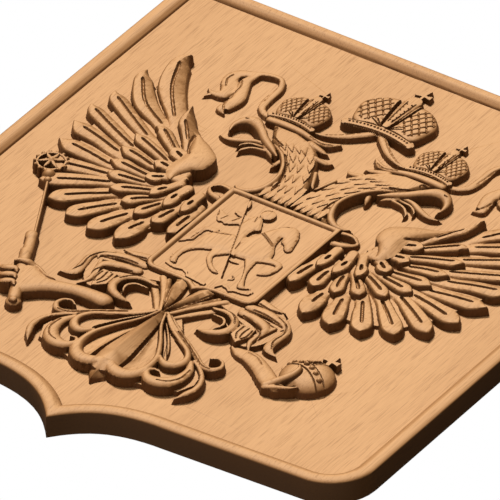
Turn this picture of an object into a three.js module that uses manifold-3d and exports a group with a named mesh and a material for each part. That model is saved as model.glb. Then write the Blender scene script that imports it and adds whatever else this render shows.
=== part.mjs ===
// Wooden heraldic shield plaque: one carved board with a raised rim, hung on a wall.
// Millimetres, +Z up. The front faces -Y and the flat back lies on the plane Y = 0.
// The origin is the centre of the back face.
import * as THREE from "three";
import { mergeVertices } from "three/addons/utils/BufferGeometryUtils.js";
import Module from "manifold-3d";

const wasm = await Module();
wasm.setup();

// Board: a straight-sided shield whose lower edge runs down to a point.
const BOARD_WIDTH = 400;
const BOARD_HEIGHT = 450;
const BOARD_THICKNESS = 13.4;
const CORNER_RADIUS = 34;
const POINT_DROP = 31;
const POINT_HALF_WIDTH = 66;
const EDGE_FALL = 5.5;
const RIM_WIDTH = 12;
const RIM_EDGE_RISE = 1.6;
const RIM_RISE = 3.8;
const RIM_FOOT_RISE = 0.9;
const RIM_EASE = 1.4;
const SIDE_CROWN_OUT = 52.6;
const SIDE_CROWN_FOOT = 122.8;

// Eagle: drawn at these two sizes below, then scaled to the sizes that are wanted.
const EAGLE_HEIGHT = 380;
const EAGLE_RELIEF = 12;
const DRAWN_HEIGHT = 380;
const DRAWN_RELIEF = 12;
const GROUND_SINK = 3;

// Shield on the breast.
const BREAST_WIDTH = 84.8;
const BREAST_TOP = 41.4;
const BREAST_BOTTOM = -61;
const BREAST_POINT = -67.5;
const BREAST_CORNER = 9;
const BREAST_BAND = 4.6;
const BREAST_RISE = 7.1;
const BREAST_GROUND = 5.2;

// Head of the sceptre, the orb, and the lozenge under the tail, as drawn.
const SCEPTRE_HEAD_AT = [-152.3, -1.3];
const SCEPTRE_HEAD_RADIUS = 11.2;
const SCEPTRE_HEAD_RISE = 8;
const ORB_RADIUS = 18.6;
const ORB_RISE = 9.2;
const TIP_TOP = -156;
const TIP_END = -178;

const PLAN_SCALE = EAGLE_HEIGHT / DRAWN_HEIGHT;
const RELIEF_SCALE = EAGLE_RELIEF / DRAWN_RELIEF;

// From a place on the front (across, up, height above the field) to the part's frame.
const place = ([u, v, h]) => new THREE.Vector3(u, -BOARD_THICKNESS - h, v);
const drawn = ([u, v, h]) => place([u * PLAN_SCALE, v * PLAN_SCALE, h * RELIEF_SCALE]);

// Solid from a geometry, turned inside out where its faces point inwards.
function solidOf(geometry) {
  const bare = geometry.clone();
  bare.deleteAttribute("normal");
  bare.deleteAttribute("uv");
  const merged = mergeVertices(bare, 1e-4);
  const vertProperties = new Float32Array(merged.getAttribute("position").array);
  const triVerts = new Uint32Array(merged.getIndex().array);
  const corner = (i) => new THREE.Vector3().fromArray(vertProperties, 3 * triVerts[i]);
  let volume = 0;
  for (let i = 0; i < triVerts.length; i += 3) {
    volume += corner(i).dot(corner(i + 1).cross(corner(i + 2)));
  }
  if (volume < 0) {
    for (let i = 0; i < triVerts.length; i += 3) {
      [triVerts[i + 1], triVerts[i + 2]] = [triVerts[i + 2], triVerts[i + 1]];
    }
  }
  return new wasm.Manifold(new wasm.Mesh({ numProp: 3, vertProperties, triVerts }));
}

// Solid between a row of closed sections with equal counts of points, capped at both ends.
function loft(sections) {
  const count = sections[0].length;
  const positions = [];
  const face = (...points) => points.forEach((point) => positions.push(...point.toArray()));
  for (let s = 0; s + 1 < sections.length; s++) {
    for (let i = 0; i < count; i++) {
      const j = (i + 1) % count;
      const [a, b] = [sections[s][i], sections[s][j]];
      const [c, d] = [sections[s + 1][i], sections[s + 1][j]];
      face(a, b, d);
      face(a, d, c);
    }
  }
  const cap = (section, turned) => {
    const flat = section.map((point) => new THREE.Vector2(point.x, point.z));
    const spread = new THREE.Box2().setFromPoints(flat).getSize(new THREE.Vector2());
    const upright = Math.abs(section[0].y - section[1].y) > 1e-6 || spread.x * spread.y < 1e-6;
    const fan = section.slice(1, -1).map((_, i) => [0, i + 1, i + 2]);
    const triangles = upright ? fan : THREE.ShapeUtils.triangulateShape(flat, []);
    for (const [a, b, c] of triangles) {
      const order = turned ? [a, c, b] : [a, b, c];
      face(...order.map((i) => section[i]));
    }
  };
  cap(sections[0], true);
  cap(sections[sections.length - 1], false);
  const geometry = new THREE.BufferGeometry();
  geometry.setAttribute("position", new THREE.Float32BufferAttribute(positions, 3));
  return solidOf(geometry);
}

// Closed outline moved inwards by a distance, corner by corner.
function inset(outline, distance) {
  return outline.map((point, i) => {
    const before = outline[(i + outline.length - 1) % outline.length];
    const after = outline[(i + 1) % outline.length];
    const inward = (a, b) => new THREE.Vector2(a.y - b.y, b.x - a.x).normalize();
    const [n, m] = [inward(before, point), inward(point, after)];
    const bisector = n.clone().add(m).normalize();
    return point.clone().addScaledVector(bisector, distance / bisector.dot(n));
  });
}

// Half outline from the top corner down to the point, closed by its mirror image.
function mirrored(half) {
  const other = half.slice(0, -1).map((p) => new THREE.Vector2(-p.x, p.y)).reverse();
  return [...half, ...other].reverse();
}

const arc = (x, y, radius, from, to, steps) => Array.from({ length: steps + 1 }, (_, i) => {
  const angle = from + (to - from) * i / steps;
  return new THREE.Vector2(x + radius * Math.cos(angle), y + radius * Math.sin(angle));
});

// Board with its rim.
function boardOutline() {
  const side = BOARD_WIDTH / 2;
  const top = BOARD_HEIGHT / 2;
  const low = -top + POINT_DROP + EDGE_FALL;
  const corner = arc(side - CORNER_RADIUS, low + CORNER_RADIUS, CORNER_RADIUS, 0, -Math.PI / 2, 6);
  const ogee = new THREE.CubicBezierCurve(
    new THREE.Vector2(POINT_HALF_WIDTH, -top + POINT_DROP),
    new THREE.Vector2(POINT_HALF_WIDTH * 0.46, -top + POINT_DROP - 1),
    new THREE.Vector2(POINT_HALF_WIDTH * 0.22, -top + POINT_DROP * 0.58),
    new THREE.Vector2(0, -top),
  ).getPoints(7);
  return mirrored([new THREE.Vector2(side, top), ...corner, ...ogee]);
}

function board() {
  const outline = boardOutline();
  const ring = (distance, height) => inset(outline, distance).map((p) => place([p.x, p.y, height]));
  const bead = [0, 0.12, 0.5, 0.78, 1].map((share) => {
    const across = 2 * share - 1;
    const height = across < 0
      ? RIM_EDGE_RISE + (RIM_RISE - RIM_EDGE_RISE) * Math.sqrt(1 - across * across)
      : RIM_FOOT_RISE + (RIM_RISE - RIM_FOOT_RISE) * (1 - across ** RIM_EASE);
    return ring(RIM_WIDTH * share, height);
  });
  return loft([ring(0, -BOARD_THICKNESS), ...bead, ring(RIM_WIDTH, 0)]);
}

// Values along a curve through rows of numbers, a few steps to each span.
function along(rows, steps) {
  const samples = [];
  const spans = rows.length - 1;
  const at = (i) => {
    if (i < 0) return rows[0].map((value, k) => 2 * value - rows[1][k]);
    if (i > spans) return rows[spans].map((value, k) => 2 * value - rows[spans - 1][k]);
    return rows[i];
  };
  for (let i = 0; i <= spans * steps; i++) {
    const span = Math.min(Math.floor(i / steps), spans - 1);
    const t = i / steps - span;
    const [a, b, c, d] = [at(span - 1), at(span), at(span + 1), at(span + 2)];
    samples.push(b.map((_, k) => 0.5 * (2 * b[k] + (c[k] - a[k]) * t
      + (2 * a[k] - 5 * b[k] + 4 * c[k] - d[k]) * t * t
      + (3 * b[k] - a[k] - 3 * c[k] + d[k]) * t * t * t)));
  }
  return samples;
}

// Direction square to the spine at each sample, to the left of its run.
function leftward(samples) {
  return samples.map((_, i) => {
    const a = samples[Math.max(i - 1, 0)];
    const b = samples[Math.min(i + 1, samples.length - 1)];
    return new THREE.Vector2(a[1] - b[1], b[0] - a[0]).normalize();
  });
}

// Carved band. Each row of its spine is across, up, width to the left, width to the right and
// crest height, with the heights of the two edges where they are not a share of the crest.
// A flat band has no crest: its top runs from edge to edge, drawn in by its bevel.
function band(rows, { side = 1, edge = 0.65, steps = 2, flat = false, bevel = 0 } = {}) {
  const full = rows.map((row) => (row.length > 5 ? row : [...row, row[4] * edge, row[4] * edge]));
  const sided = side > 0 ? full : full.map(([u, v, l, r, h, a, b]) => [-u, v, r, l, h, b, a]);
  const samples = along(sided, steps);
  const normals = leftward(samples);
  return loft(samples.map(([u, v, left, right, crest, leftEdge, rightEdge], i) => {
    const { x, y } = normals[i];
    const l = Math.max(left, 0.15);
    const r = Math.max(right, 0.15);
    const tl = l - Math.min(bevel, l * 0.5);
    const tr = r - Math.min(bevel, r * 0.5);
    const top = [
      [u + x * tl, v + y * tl, Math.max(leftEdge, 0.4)],
      [u, v, Math.max(crest, 0.6)],
      [u - x * tr, v - y * tr, Math.max(rightEdge, 0.4)],
    ];
    return [
      [u + x * l, v + y * l, -GROUND_SINK],
      ...(flat ? [top[0], top[2]] : top),
      [u - x * r, v - y * r, -GROUND_SINK],
    ].map(drawn);
  }));
}

// V-shaped cut along a line of rows: across, up, half width, depth, height of the wood there.
function cut(rows, side = 1, steps = 1) {
  const samples = along(rows.map(([u, ...rest]) => [u * side, ...rest]), steps);
  const normals = leftward(samples);
  return loft(samples.map(([u, v, width, depth, height], i) => {
    const { x, y } = normals[i];
    return [
      [u + x * width, v + y * width, height + 0.6],
      [u, v, height - depth],
      [u - x * width, v - y * width, height + 0.6],
    ].map(drawn);
  }));
}

// Flat-topped form with a chamfered edge, from an outline of [across, up].
function plate(outline, height, { side = 1, chamfer = 1, fall = 1 } = {}) {
  const points = outline.map(([u, v]) => new THREE.Vector2(u * side, v));
  const turned = THREE.ShapeUtils.isClockWise(points) ? points.reverse() : points;
  const ring = (distance, h) => inset(turned, distance).map((p) => drawn([p.x, p.y, h]));
  const top = chamfer > 0 ? [ring(0, height - fall), ring(chamfer, height)] : [ring(0, height)];
  return loft([ring(0, -GROUND_SINK), ...top]);
}

// Round boss: a wall up to its shoulder, then a dome.
function boss(u, v, radius, height, { shoulder = 0.5, sides = 12, rings = 3, side = 1 } = {}) {
  const profile = [new THREE.Vector2(0, -GROUND_SINK), new THREE.Vector2(radius, -GROUND_SINK)];
  for (let i = 0; i <= rings; i++) {
    const angle = Math.PI / 2 * i / rings;
    const rise = height * (shoulder + (1 - shoulder) * Math.sin(angle));
    profile.push(new THREE.Vector2(i === rings ? 0 : radius * Math.cos(angle), rise));
  }
  const dome = new THREE.LatheGeometry(profile, sides);
  const position = dome.getAttribute("position");
  for (let i = 0; i < position.count; i++) {
    const [x, y, z] = [position.getX(i), position.getY(i), position.getZ(i)];
    const moved = drawn([u * side + x, v + z, y]);
    position.setXYZ(i, moved.x, moved.y, moved.z);
  }
  return solidOf(dome);
}

const join = (solids) => solids.reduce((whole, solid) => whole.add(solid));

// Feather in two flat halves that meet on its spine, with a straight slot between them. Its
// start, far end of the slot and tip lie on the spine; the trailing half falls away sideways.
const FEATHER_GAP = 0.4;
const SLOT_HALF_WIDTH = 1.2;
const SLOT_DEPTH = 2.2;
const ROOT_SHARE = 0.35;
const OGIVE_SHARE = 0.55;
const STRAIGHT_WITHIN = 2.2;

function feather({ root, slot, tip, lead, trail, rise, fall }, side) {
  const [near, middle, far] = slot.map(([u, v]) => new THREE.Vector2(u, v));
  const start = near.clone().lerp(new THREE.Vector2(...root), ROOT_SHARE);
  const end = new THREE.Vector2(...tip);
  const axis = end.clone().sub(start);
  const length = axis.length();
  axis.divideScalar(length);
  const across = (point) => axis.cross(point.clone().sub(start));
  const widest = Math.max(...trail);
  const heightAt = (point) => {
    const share = point.clone().sub(start).dot(axis) / length;
    const sunk = fall * Math.max(0, -across(point)) / widest;
    return rise[0] + (rise[1] - rise[0]) * share - sunk;
  };
  const bowed = Math.abs(across(middle)) > STRAIGHT_WITHIN;
  const ogive = 1 - OGIVE_SHARE ** (fall > 0 ? 1.8 : 2.6);
  const shoulder = far.clone().lerp(end, OGIVE_SHARE);
  const stations = [
    [start, lead[0], trail[0]], [far, lead[2], trail[2]],
    [shoulder, lead[2] * ogive, trail[2] * ogive],
  ];
  const slotRows = [near, far].map((point) => [
    ...point.toArray(), SLOT_HALF_WIDTH, SLOT_DEPTH, heightAt(point)]);
  if (bowed) {
    stations.splice(1, 0, [middle, lead[1], trail[1]]);
    const rows = [...stations, [end, 0, 0]].map(([point, left, right]) => {
      const share = point.clone().sub(start).dot(axis) / length;
      const crest = rise[0] + (rise[1] - rise[0]) * share;
      return [...point.toArray(), left, right, crest, crest, crest - fall];
    });
    return band(rows, { side, steps: 1 }).subtract(cut(slotRows, side));
  }
  const spine = [...stations.map(([point]) => point.toArray()), tip];
  const normals = leftward(spine);
  const edge = (turn, width) => stations.map(([point, ...widths], i) => (
    point.clone().addScaledVector(normals[i], turn * (widths[width] - FEATHER_GAP))));
  return roof(start, edge(1, 0), end, edge(-1, 1), heightAt, side).subtract(cut(slotRows, side));
}

// Solid with two flat halves on top: left and right of the line from its start to its end.
function roof(start, left, end, right, heightAt, side) {
  const positions = [];
  const at = (point, h) => drawn([point.x * side, point.y, h]).toArray();
  const top = (point) => at(point, heightAt(point));
  const foot = (point) => at(point, -GROUND_SINK);
  const outline = [start, ...left, end, ...[...right].reverse()];
  const turn = THREE.ShapeUtils.isClockWise(outline) ? -1 : 1;
  const cover = (points, sense, lifted) => {
    for (const [a, b, c] of THREE.ShapeUtils.triangulateShape(points, [])) {
      const area = THREE.ShapeUtils.area([points[a], points[b], points[c]]);
      const corners = area * sense > 0 ? [a, b, c] : [a, c, b];
      corners.forEach((i) => positions.push(...lifted(points[i])));
    }
  };
  for (const half of [[start, ...left, end], [end, ...[...right].reverse(), start]]) {
    cover(half, turn, top);
    cover(half, -turn, foot);
  }
  outline.forEach((point, i) => {
    const next = outline[(i + 1) % outline.length];
    positions.push(...foot(point), ...foot(next), ...top(next));
    positions.push(...foot(point), ...top(next), ...top(point));
  });
  const geometry = new THREE.BufferGeometry();
  geometry.setAttribute("position", new THREE.Float32BufferAttribute(positions, 3));
  return solidOf(geometry);
}

// Wing feathers of the left-hand wing, from the topmost down to the breast. Each is its tip, the
// far end, middle and near end of its slot, its root, its half widths from far to near on the
// leading and on the trailing side, and the fall of its trailing side.
const LONG_FEATHERS = [
  [[-145, 146.5], [-148, 135], [-137, 111], [-118, 86], [-104, 68], [5.5, 8.6, 4.3], [8.2, 8.4, 8], 4],
  [[-160, 117.5], [-157, 107], [-141, 87], [-120, 75], [-98, 58], [5.4, 7.2, 5.5], [5.8, 7.6, 5], 2.5],
  [[-165.5, 88], [-159, 82], [-140, 70.5], [-121, 60], [-96, 48], [6, 6, 4.8], [6, 5.6, 5], 2],
  [[-170, 67.5], [-163, 63], [-144, 54], [-121, 44.5], [-94, 38], [5.8, 5.6, 5], [5.4, 5.8, 5], 1.6],
  [[-168.5, 45.5], [-158, 42.5], [-142, 39], [-126, 35], [-92, 31], [8, 6.3, 6], [6, 6, 5.4], 1.2],
  [[-165, 23.5], [-153, 23], [-138, 22], [-122, 20.5], [-90, 22], [8, 7, 4.5], [6.5, 6, 6], 1],
  [[-159, -1], [-147, 2], [-133, 6.5], [-117, 11], [-86, 18], [6.5, 6, 5], [7, 6, 5], 0],
  [[-149, -21], [-139, -14], [-125, -4.5], [-111, 4.5], [-84, 14], [6.5, 5.6, 4.6], [6.6, 6, 4.6], 0],
  [[-132.5, -35], [-125, -26], [-114, -15.5], [-103, -5], [-82, 9], [7, 5.6, 4.2], [6.6, 5.6, 4.6], 0],
  [[-112.5, -44], [-108, -35], [-101, -24], [-94, -13], [-76, 8], [6.8, 6, 4.6], [6.6, 6, 4.6], 0],
  [[-92.5, -49], [-89, -38], [-85.5, -28], [-82, -18], [-72, 8], [7.6, 7, 5], [6.6, 6, 4.6], 0],
  [[-71.5, -48.5], [-70, -34], [-69.2, -27], [-68.5, -20], [-66, 6], [7.4, 7, 5], [6.8, 6.4, 4.6], 0],
];
const MIDDLE_FEATHERS = [
  [[-112.5, 100], [-106.5, 82], [-101, 75.5], [-95, 68], [-86, 56], [4.4, 4.4, 4], [7, 8, 7], 4.5],
  [[-121, 68], [-113, 68], [-103, 60.5], [-93, 53], [-84, 47], [6, 5.2, 4], [4.6, 4.6, 4], 1.5],
  [[-127, 54.5], [-119.5, 52], [-106, 47], [-93, 42], [-82, 40], [5.8, 5, 4], [5, 5, 4], 1],
  [[-126.5, 37.5], [-118, 36.5], [-108, 35], [-98, 33], [-80, 32], [6, 5.2, 4], [5.4, 5, 4], 1],
  [[-124, 21.5], [-114.5, 22.5], [-104, 22], [-93, 22], [-78, 24], [6.4, 5, 4], [6, 5, 4], 0.6],
  [[-117, 9], [-108.5, 10], [-100, 12], [-91, 14.5], [-76, 20], [5, 4.4, 3.6], [5.6, 4.6, 4], 0],
  [[-106, -5], [-99, 0], [-91, 5], [-83, 10], [-72, 17], [5, 4.4, 3.6], [5, 4.4, 4], 0],
  [[-91.5, -13], [-87, -7.5], [-82.5, -2], [-77, 4], [-68, 14], [5.4, 4.4, 3.4], [5, 4.4, 3.4], 0],
  [[-76.5, -20], [-74.5, -13], [-72, -6], [-70, 1], [-64, 12], [5.2, 4.6, 3.6], [5, 4.4, 3.6], 0],
  [[-61.5, -21.5], [-60.5, -14.5], [-59.6, -7], [-59, 0], [-57, 12], [6, 5.4, 4.4], [5.2, 4.8, 4], 0],
  [[-47, -26], [-46, -15.5], [-46.5, -8], [-47, 0], [-48, 12], [6.2, 5.6, 4.6], [5, 5, 4.4], 0],
];
const SHORT_FEATHERS = [
  [[-97, 52], [-91.5, 50.5], [-87, 48.5], [-83, 46.5], [-74, 42], [6.5, 6, 5], [6, 6, 6], 0],
  [[-98, 34], [-93, 35], [-89.5, 34.7], [-86, 34], [-74, 34], [7, 5.6, 5], [4.6, 5, 5], 0],
  [[-92.5, 15.5], [-89, 19], [-86, 21], [-83, 23.5], [-72, 28], [5.6, 5.4, 4], [6, 5.4, 5], 0],
  [[-79, 1], [-77.5, 9], [-76, 12], [-74.5, 14.5], [-70, 24], [4.6, 4.6, 4], [5, 5, 4], 0],
  [[-64.5, -4.5], [-65, 6], [-65, 9], [-65, 12], [-63, 22], [5.4, 5.4, 4.4], [5, 5.2, 4.4], 0],
  [[-51.8, -3.5], [-52.5, 6], [-52.5, 9], [-52.5, 12], [-52.5, 20], [5.2, 5.4, 4.4], [4.6, 5, 4.4], 0],
];

function featherRow(list, rise, side) {
  return list.map(([tip, far, middle, near, root, lead, trail, fall]) => feather({
    root, tip, rise, fall, slot: [near, middle, far],
    lead: [...lead].reverse(), trail: [...trail].reverse(),
  }, side));
}

function wing(side) {
  const ground = [
    [-150, 112], [-153, 87], [-156, 69], [-158, 51], [-154, 31], [-148, 13], [-140, -8],
    [-130, -21], [-115, -29], [-98, -34], [-79, -34], [-64, -32], [-60, -15], [-46, -14], [-44, 12],
    [-62, 14], [-74, 26], [-76, 40], [-86, 60], [-97, 76], [-112, 93],
  ];
  const shoulder = [
    [-96, 82, 0.3, 0.3, 2.6, 2, 2], [-91, 73, 5, 4, 5.4, 3, 3.4], [-84.5, 63, 10, 6.5, 8.4, 5.4, 6],
    [-80, 53.5, 15, 8, 10.4, 7, 8], [-77.5, 46, 13.4, 9, 11.2, 7.4, 8.2],
    [-78.5, 39.5, 8.4, 9, 11, 7, 8.3], [-79.5, 33, 6.6, 9, 10.6, 6.8, 8.4],
    [-79, 26.5, 7, 8, 10, 6.4, 8.4], [-75, 20, 6, 7, 9.2, 6, 8.4],
    [-68, 15.6, 2.6, 5, 8.8, 5.4, 8.2],
  ];
  return [
    plate(ground, 2.4, { side, chamfer: 0 }),
    ...featherRow(LONG_FEATHERS, [3.2, 6.4], side),
    ...featherRow(MIDDLE_FEATHERS, [5, 7.4], side),
    ...featherRow(SHORT_FEATHERS, [8.2, 8.6], side),
    band(shoulder, { side, steps: 1 }),
  ];
}

function head(side) {
  const neck = [
    [-51.4, 97.4], [-39.4, 91.4], [-32.4, 85.4], [-27.4, 77.4], [-23.9, 67.4], [-22.4, 56.4], [-26.4, 47.4], [-31.4, 41.4],
    [-1.4, 41.4], [1.6, 56.4], [-2.4, 69.4], [-7.4, 82.4], [-12.4, 94.4], [-18.4, 103.4], [-28.4, 111.4], [-41.4, 115.4], [-61.4, 115.4],
  ];
  const strands = [
    [[-24.4, 42.4, 3, 4, 6.8], [-24.4, 62.4, 3.4, 4, 7.4], [-33.4, 86.4, 4, 5, 7.6], [-55.4, 103.4, 4, 4, 7.2]],
    [[-15.4, 42.4, 4, 4, 6.8], [-14.4, 62.4, 4, 4, 7.6], [-20.4, 86.4, 5, 5, 7.8], [-47.4, 109.4, 4, 4, 7]],
    [[-6.4, 42.4, 3.6, 3.6, 6.6], [-6, 60.4, 3.6, 3, 7.2], [-9.4, 80.4, 3.4, 3, 7], [-23.4, 104.4, 3, 3, 6.4]],
  ];
  const beak = [
    [-78.4, 89.9, 0.3, 0.3, 4], [-80.8, 95.4, 1.8, 1.6, 5.4], [-80, 102, 3.4, 3, 6.6],
    [-75.8, 106.8, 5, 4.6, 7.8], [-69.4, 107.8, 5, 5.6, 8.6], [-62.4, 102.8, 4.4, 4.4, 8.4],
    [-54.8, 96, 3.8, 3.8, 8], [-46.4, 90.4, 3.2, 3.2, 7.4], [-38.8, 85.4, 1.4, 1.4, 6],
  ];
  const jaw = [
    [-85.4, 88.9, 0.3, 0.3, 2.4], [-81.4, 86.9, 1.4, 1.6, 3.4], [-75.4, 86.4, 2.6, 2.6, 4.4],
    [-68.4, 88.9, 3, 3, 5], [-60.4, 92.4, 2.4, 2.4, 5.4], [-51.4, 92.4, 2, 2, 5.6],
  ];
  const wattles = [
    [
      [-67.4, 81.4, 0.3, 0.3, 2.6], [-65.9, 85.9, 1.4, 1.4, 3.8], [-60.4, 89.4, 1.5, 1.5, 4.6],
      [-50.4, 89.9, 1.8, 1.8, 5.2],
    ],
    [
      [-63.4, 76.4, 0.3, 0.3, 2.6], [-62.9, 81.4, 1.5, 1.5, 3.8], [-57.4, 85.9, 1.6, 1.6, 4.6],
      [-47.4, 87.4, 1.8, 1.8, 5.2],
    ],
  ];
  const spikes = [
    [[-40.4, 82.4, 0.4, 0.4, 3], [-44.4, 85.9, 2, 2.2, 5], [-51.4, 90.4, 2.4, 2.6, 5.8]],
    [[-36.4, 74.4, 0.6, 0.6, 3], [-34.9, 78.4, 2.6, 2, 5], [-32.4, 86.4, 3, 2.4, 6.4]],
    [[-13.4, 107.4, 0.4, 0.4, 2.8], [-19.4, 107.9, 2.4, 3, 4.2], [-29.4, 109.4, 3, 4, 5.8]],
    [[-5.4, 101.4, 0.4, 0.4, 3], [-9.4, 97.9, 2.4, 2.4, 4.4], [-17.4, 97.4, 3, 3, 6.2]],
    [[0.6, 69.4, 0.4, 0.4, 3.4], [-2.4, 72.4, 1.6, 2, 5], [-7.4, 83.4, 2.4, 2.4, 6.4]],
  ];
  const collar = [
    [-45.4, 47.4, 0.3, 0.3, 3.4], [-39.4, 44, 2.4, 2.4, 4.8], [-32.4, 44.4, 3.4, 2.8, 6],
    [-26.4, 50.4, 3.2, 2.8, 6.8], [-23.6, 62.4, 2.4, 2.6, 8], [-27.4, 75.4, 2.2, 2.8, 8.2],
    [-35.4, 86.4, 2, 2.8, 8], [-45.4, 93.4, 1.6, 2.4, 7.6],
  ];
  const scroll = [
    [-42.4, 39.4, 2, 3, 5.4], [-50.4, 40.4, 1.6, 3, 4.8], [-55.4, 36.4, 1, 2.4, 3.6], [-51.4, 30.4, 2, 3, 5],
    [-44.4, 28.4, 2, 4, 5.6],
  ];
  return [
    plate(neck, 5.6, { side, chamfer: 0 }),
    ...strands.map((rows) => band(rows, { side, edge: 0.8, steps: 1 })),
    band(beak, { side, edge: 0.6, steps: 1 }),
    ...[jaw, ...wattles, ...spikes].map((rows) => band(rows, { side, edge: 0.9, steps: 1, flat: true })),
    ...[collar, scroll].map((rows) => band(rows, { side, edge: 0.9, steps: 1, flat: true })),
  ];
}

// Crown with two caps, a ribbed middle, a beaded band, a ball and a cross; its foot is at u, v.
function crown(u, v, halfWidth, height, rise) {
  const across = halfWidth / 26;
  const up = height / 38;
  const at = (x, y) => [u + x * across, v + y * up];
  const cap = [[3, 36], [10, 38], [19, 33], [25.5, 23], [24.5, 12], [20, 2], [2, 2]];
  const solids = [];
  for (const side of [1, -1]) {
    const outline = cap.map(([x, y]) => at(x * side, y));
    solids.push(plate(outline, rise, { chamfer: 3.4 * across, fall: 2.4 }));
  }
  const [spineFoot, spineTop] = [at(0, 6), at(0, 40)];
  solids.push(band([
    [...spineFoot, 2.4 * across, 2.4 * across, rise + 0.6],
    [...spineTop, 5 * across, 5 * across, rise + 0.4],
  ], { edge: 0.84, steps: 1 }));
  const sill = [[-22, -3.6], [-10, -0.7], [10, -0.7], [22, -3.6], [21, 4.2], [10, 7.4], [-10, 7.4],
    [-21, 4.2]];
  solids.push(plate(sill.map(([x, y]) => at(x, y)), rise + 0.3, { chamfer: 0.8, fall: 0.8 }));
  const [ballU, ballV] = at(0, 40.5);
  solids.push(boss(ballU, ballV, 4.6 * up, rise - 0.4, { sides: 8, rings: 2, shoulder: 0.4 }));
  const limb = [[1.4, 44], [1.4, 48.4], [5.6, 47.6], [5.6, 52.4], [1.6, 51], [2.4, 57]];
  const cross = [...limb, ...limb.map(([x, y]) => [-x, y]).reverse()].map(([x, y]) => at(x, y));
  solids.push(plate(cross, rise - 2, { chamfer: 0, fall: 0 }));
  return solids;
}

function ribbons(side) {
  const loop = [
    [-62.8, 122, 2.6, 2.6, 3.6], [-71.8, 122.5, 3, 2.6, 3.4], [-78.8, 128, 3.4, 3, 3.3],
    [-80.8, 139, 3.8, 3.4, 3.3], [-81.3, 151, 3, 3.4, 3.6], [-85.8, 159.5, 2.2, 2.8, 4.1],
    [-95.8, 159, 2.2, 3.2, 4.1], [-107.8, 154, 3.4, 3, 3.6],
  ];
  const outerTail = [
    [-101.8, 155.5, 2.6, 3, 3.8], [-111.8, 151, 3.4, 4, 3.3], [-113.8, 143, 5, 4.6, 3.1],
    [-108.8, 134, 6, 4.6, 3.4], [-108.3, 127, 5, 3.4, 3.8], [-113.8, 123.6, 2.2, 2.2, 3.4],
    [-119.2, 126.4, 1.2, 1.2, 2.6],
  ];
  const innerTail = [
    [-100.8, 155.5, 2, 2.4, 3.9], [-103.8, 146, 4, 3.2, 3.9], [-100.4, 136, 4.6, 4, 4.1],
    [-97.2, 127, 4.8, 4, 4.3], [-98.8, 118, 4.8, 3.6, 3.9], [-100.4, 111.5, 4, 2.4, 3.3],
    [-94.8, 108, 0.4, 0.4, 2.5],
  ];
  const hook = [[-111.8, 124, 2, 2, 3.3], [-115.4, 121.6, 1.8, 1.8, 2.8], [-117.8, 117, 0.3, 0.3, 2.1]];
  const browBand = [
    [-65.8, 118, 3.6, 3.6, 5.5], [-53.8, 118.4, 3.6, 3.6, 5.8], [-41.8, 117.6, 3, 3.4, 5.7],
    [-29.8, 115, 2.4, 3, 5.2], [-20.8, 115.6, 3, 3.4, 4.6], [-13.8, 120.6, 1.6, 1.6, 3.8],
  ];
  const centre = [
    [-39.8, 123, 0.6, 0.6, 3], [-29.8, 123.4, 2, 1.8, 3.8], [-17.8, 129, 3.6, 3, 4.3],
    [-6.8, 138.5, 3.8, 3.4, 4.6], [-0.8, 145, 3, 3, 4.6],
  ];
  const all = [loop, outerTail, innerTail, hook, browBand, centre];
  return all.map((rows) => band(rows, { side, edge: 0.85, steps: 1, flat: true }));
}

function breastShield() {
  const side = BREAST_WIDTH / 2;
  const centre = [side - BREAST_CORNER, BREAST_BOTTOM + BREAST_CORNER];
  const corner = arc(...centre, BREAST_CORNER, 0, -Math.PI / 2, 4);
  const foot = [[14, BREAST_BOTTOM], [7, BREAST_BOTTOM - 0.8], [3, BREAST_BOTTOM - 3.4],
    [0, BREAST_POINT]];
  const outline = mirrored([
    new THREE.Vector2(side, BREAST_TOP), ...corner, ...foot.map(([u, v]) => new THREE.Vector2(u, v)),
  ]);
  const ring = (distance, h) => inset(outline, distance).map((p) => drawn([p.x, p.y, h]));
  const [edge, crest, ground] = [BREAST_RISE - 0.8, BREAST_RISE, BREAST_GROUND];
  return loft([
    ring(0, -GROUND_SINK), ring(0, edge), ring(BREAST_BAND * 0.3, crest),
    ring(BREAST_BAND * 0.7, crest), ring(BREAST_BAND, edge), ring(BREAST_BAND * 1.3, ground),
  ]);
}

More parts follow.
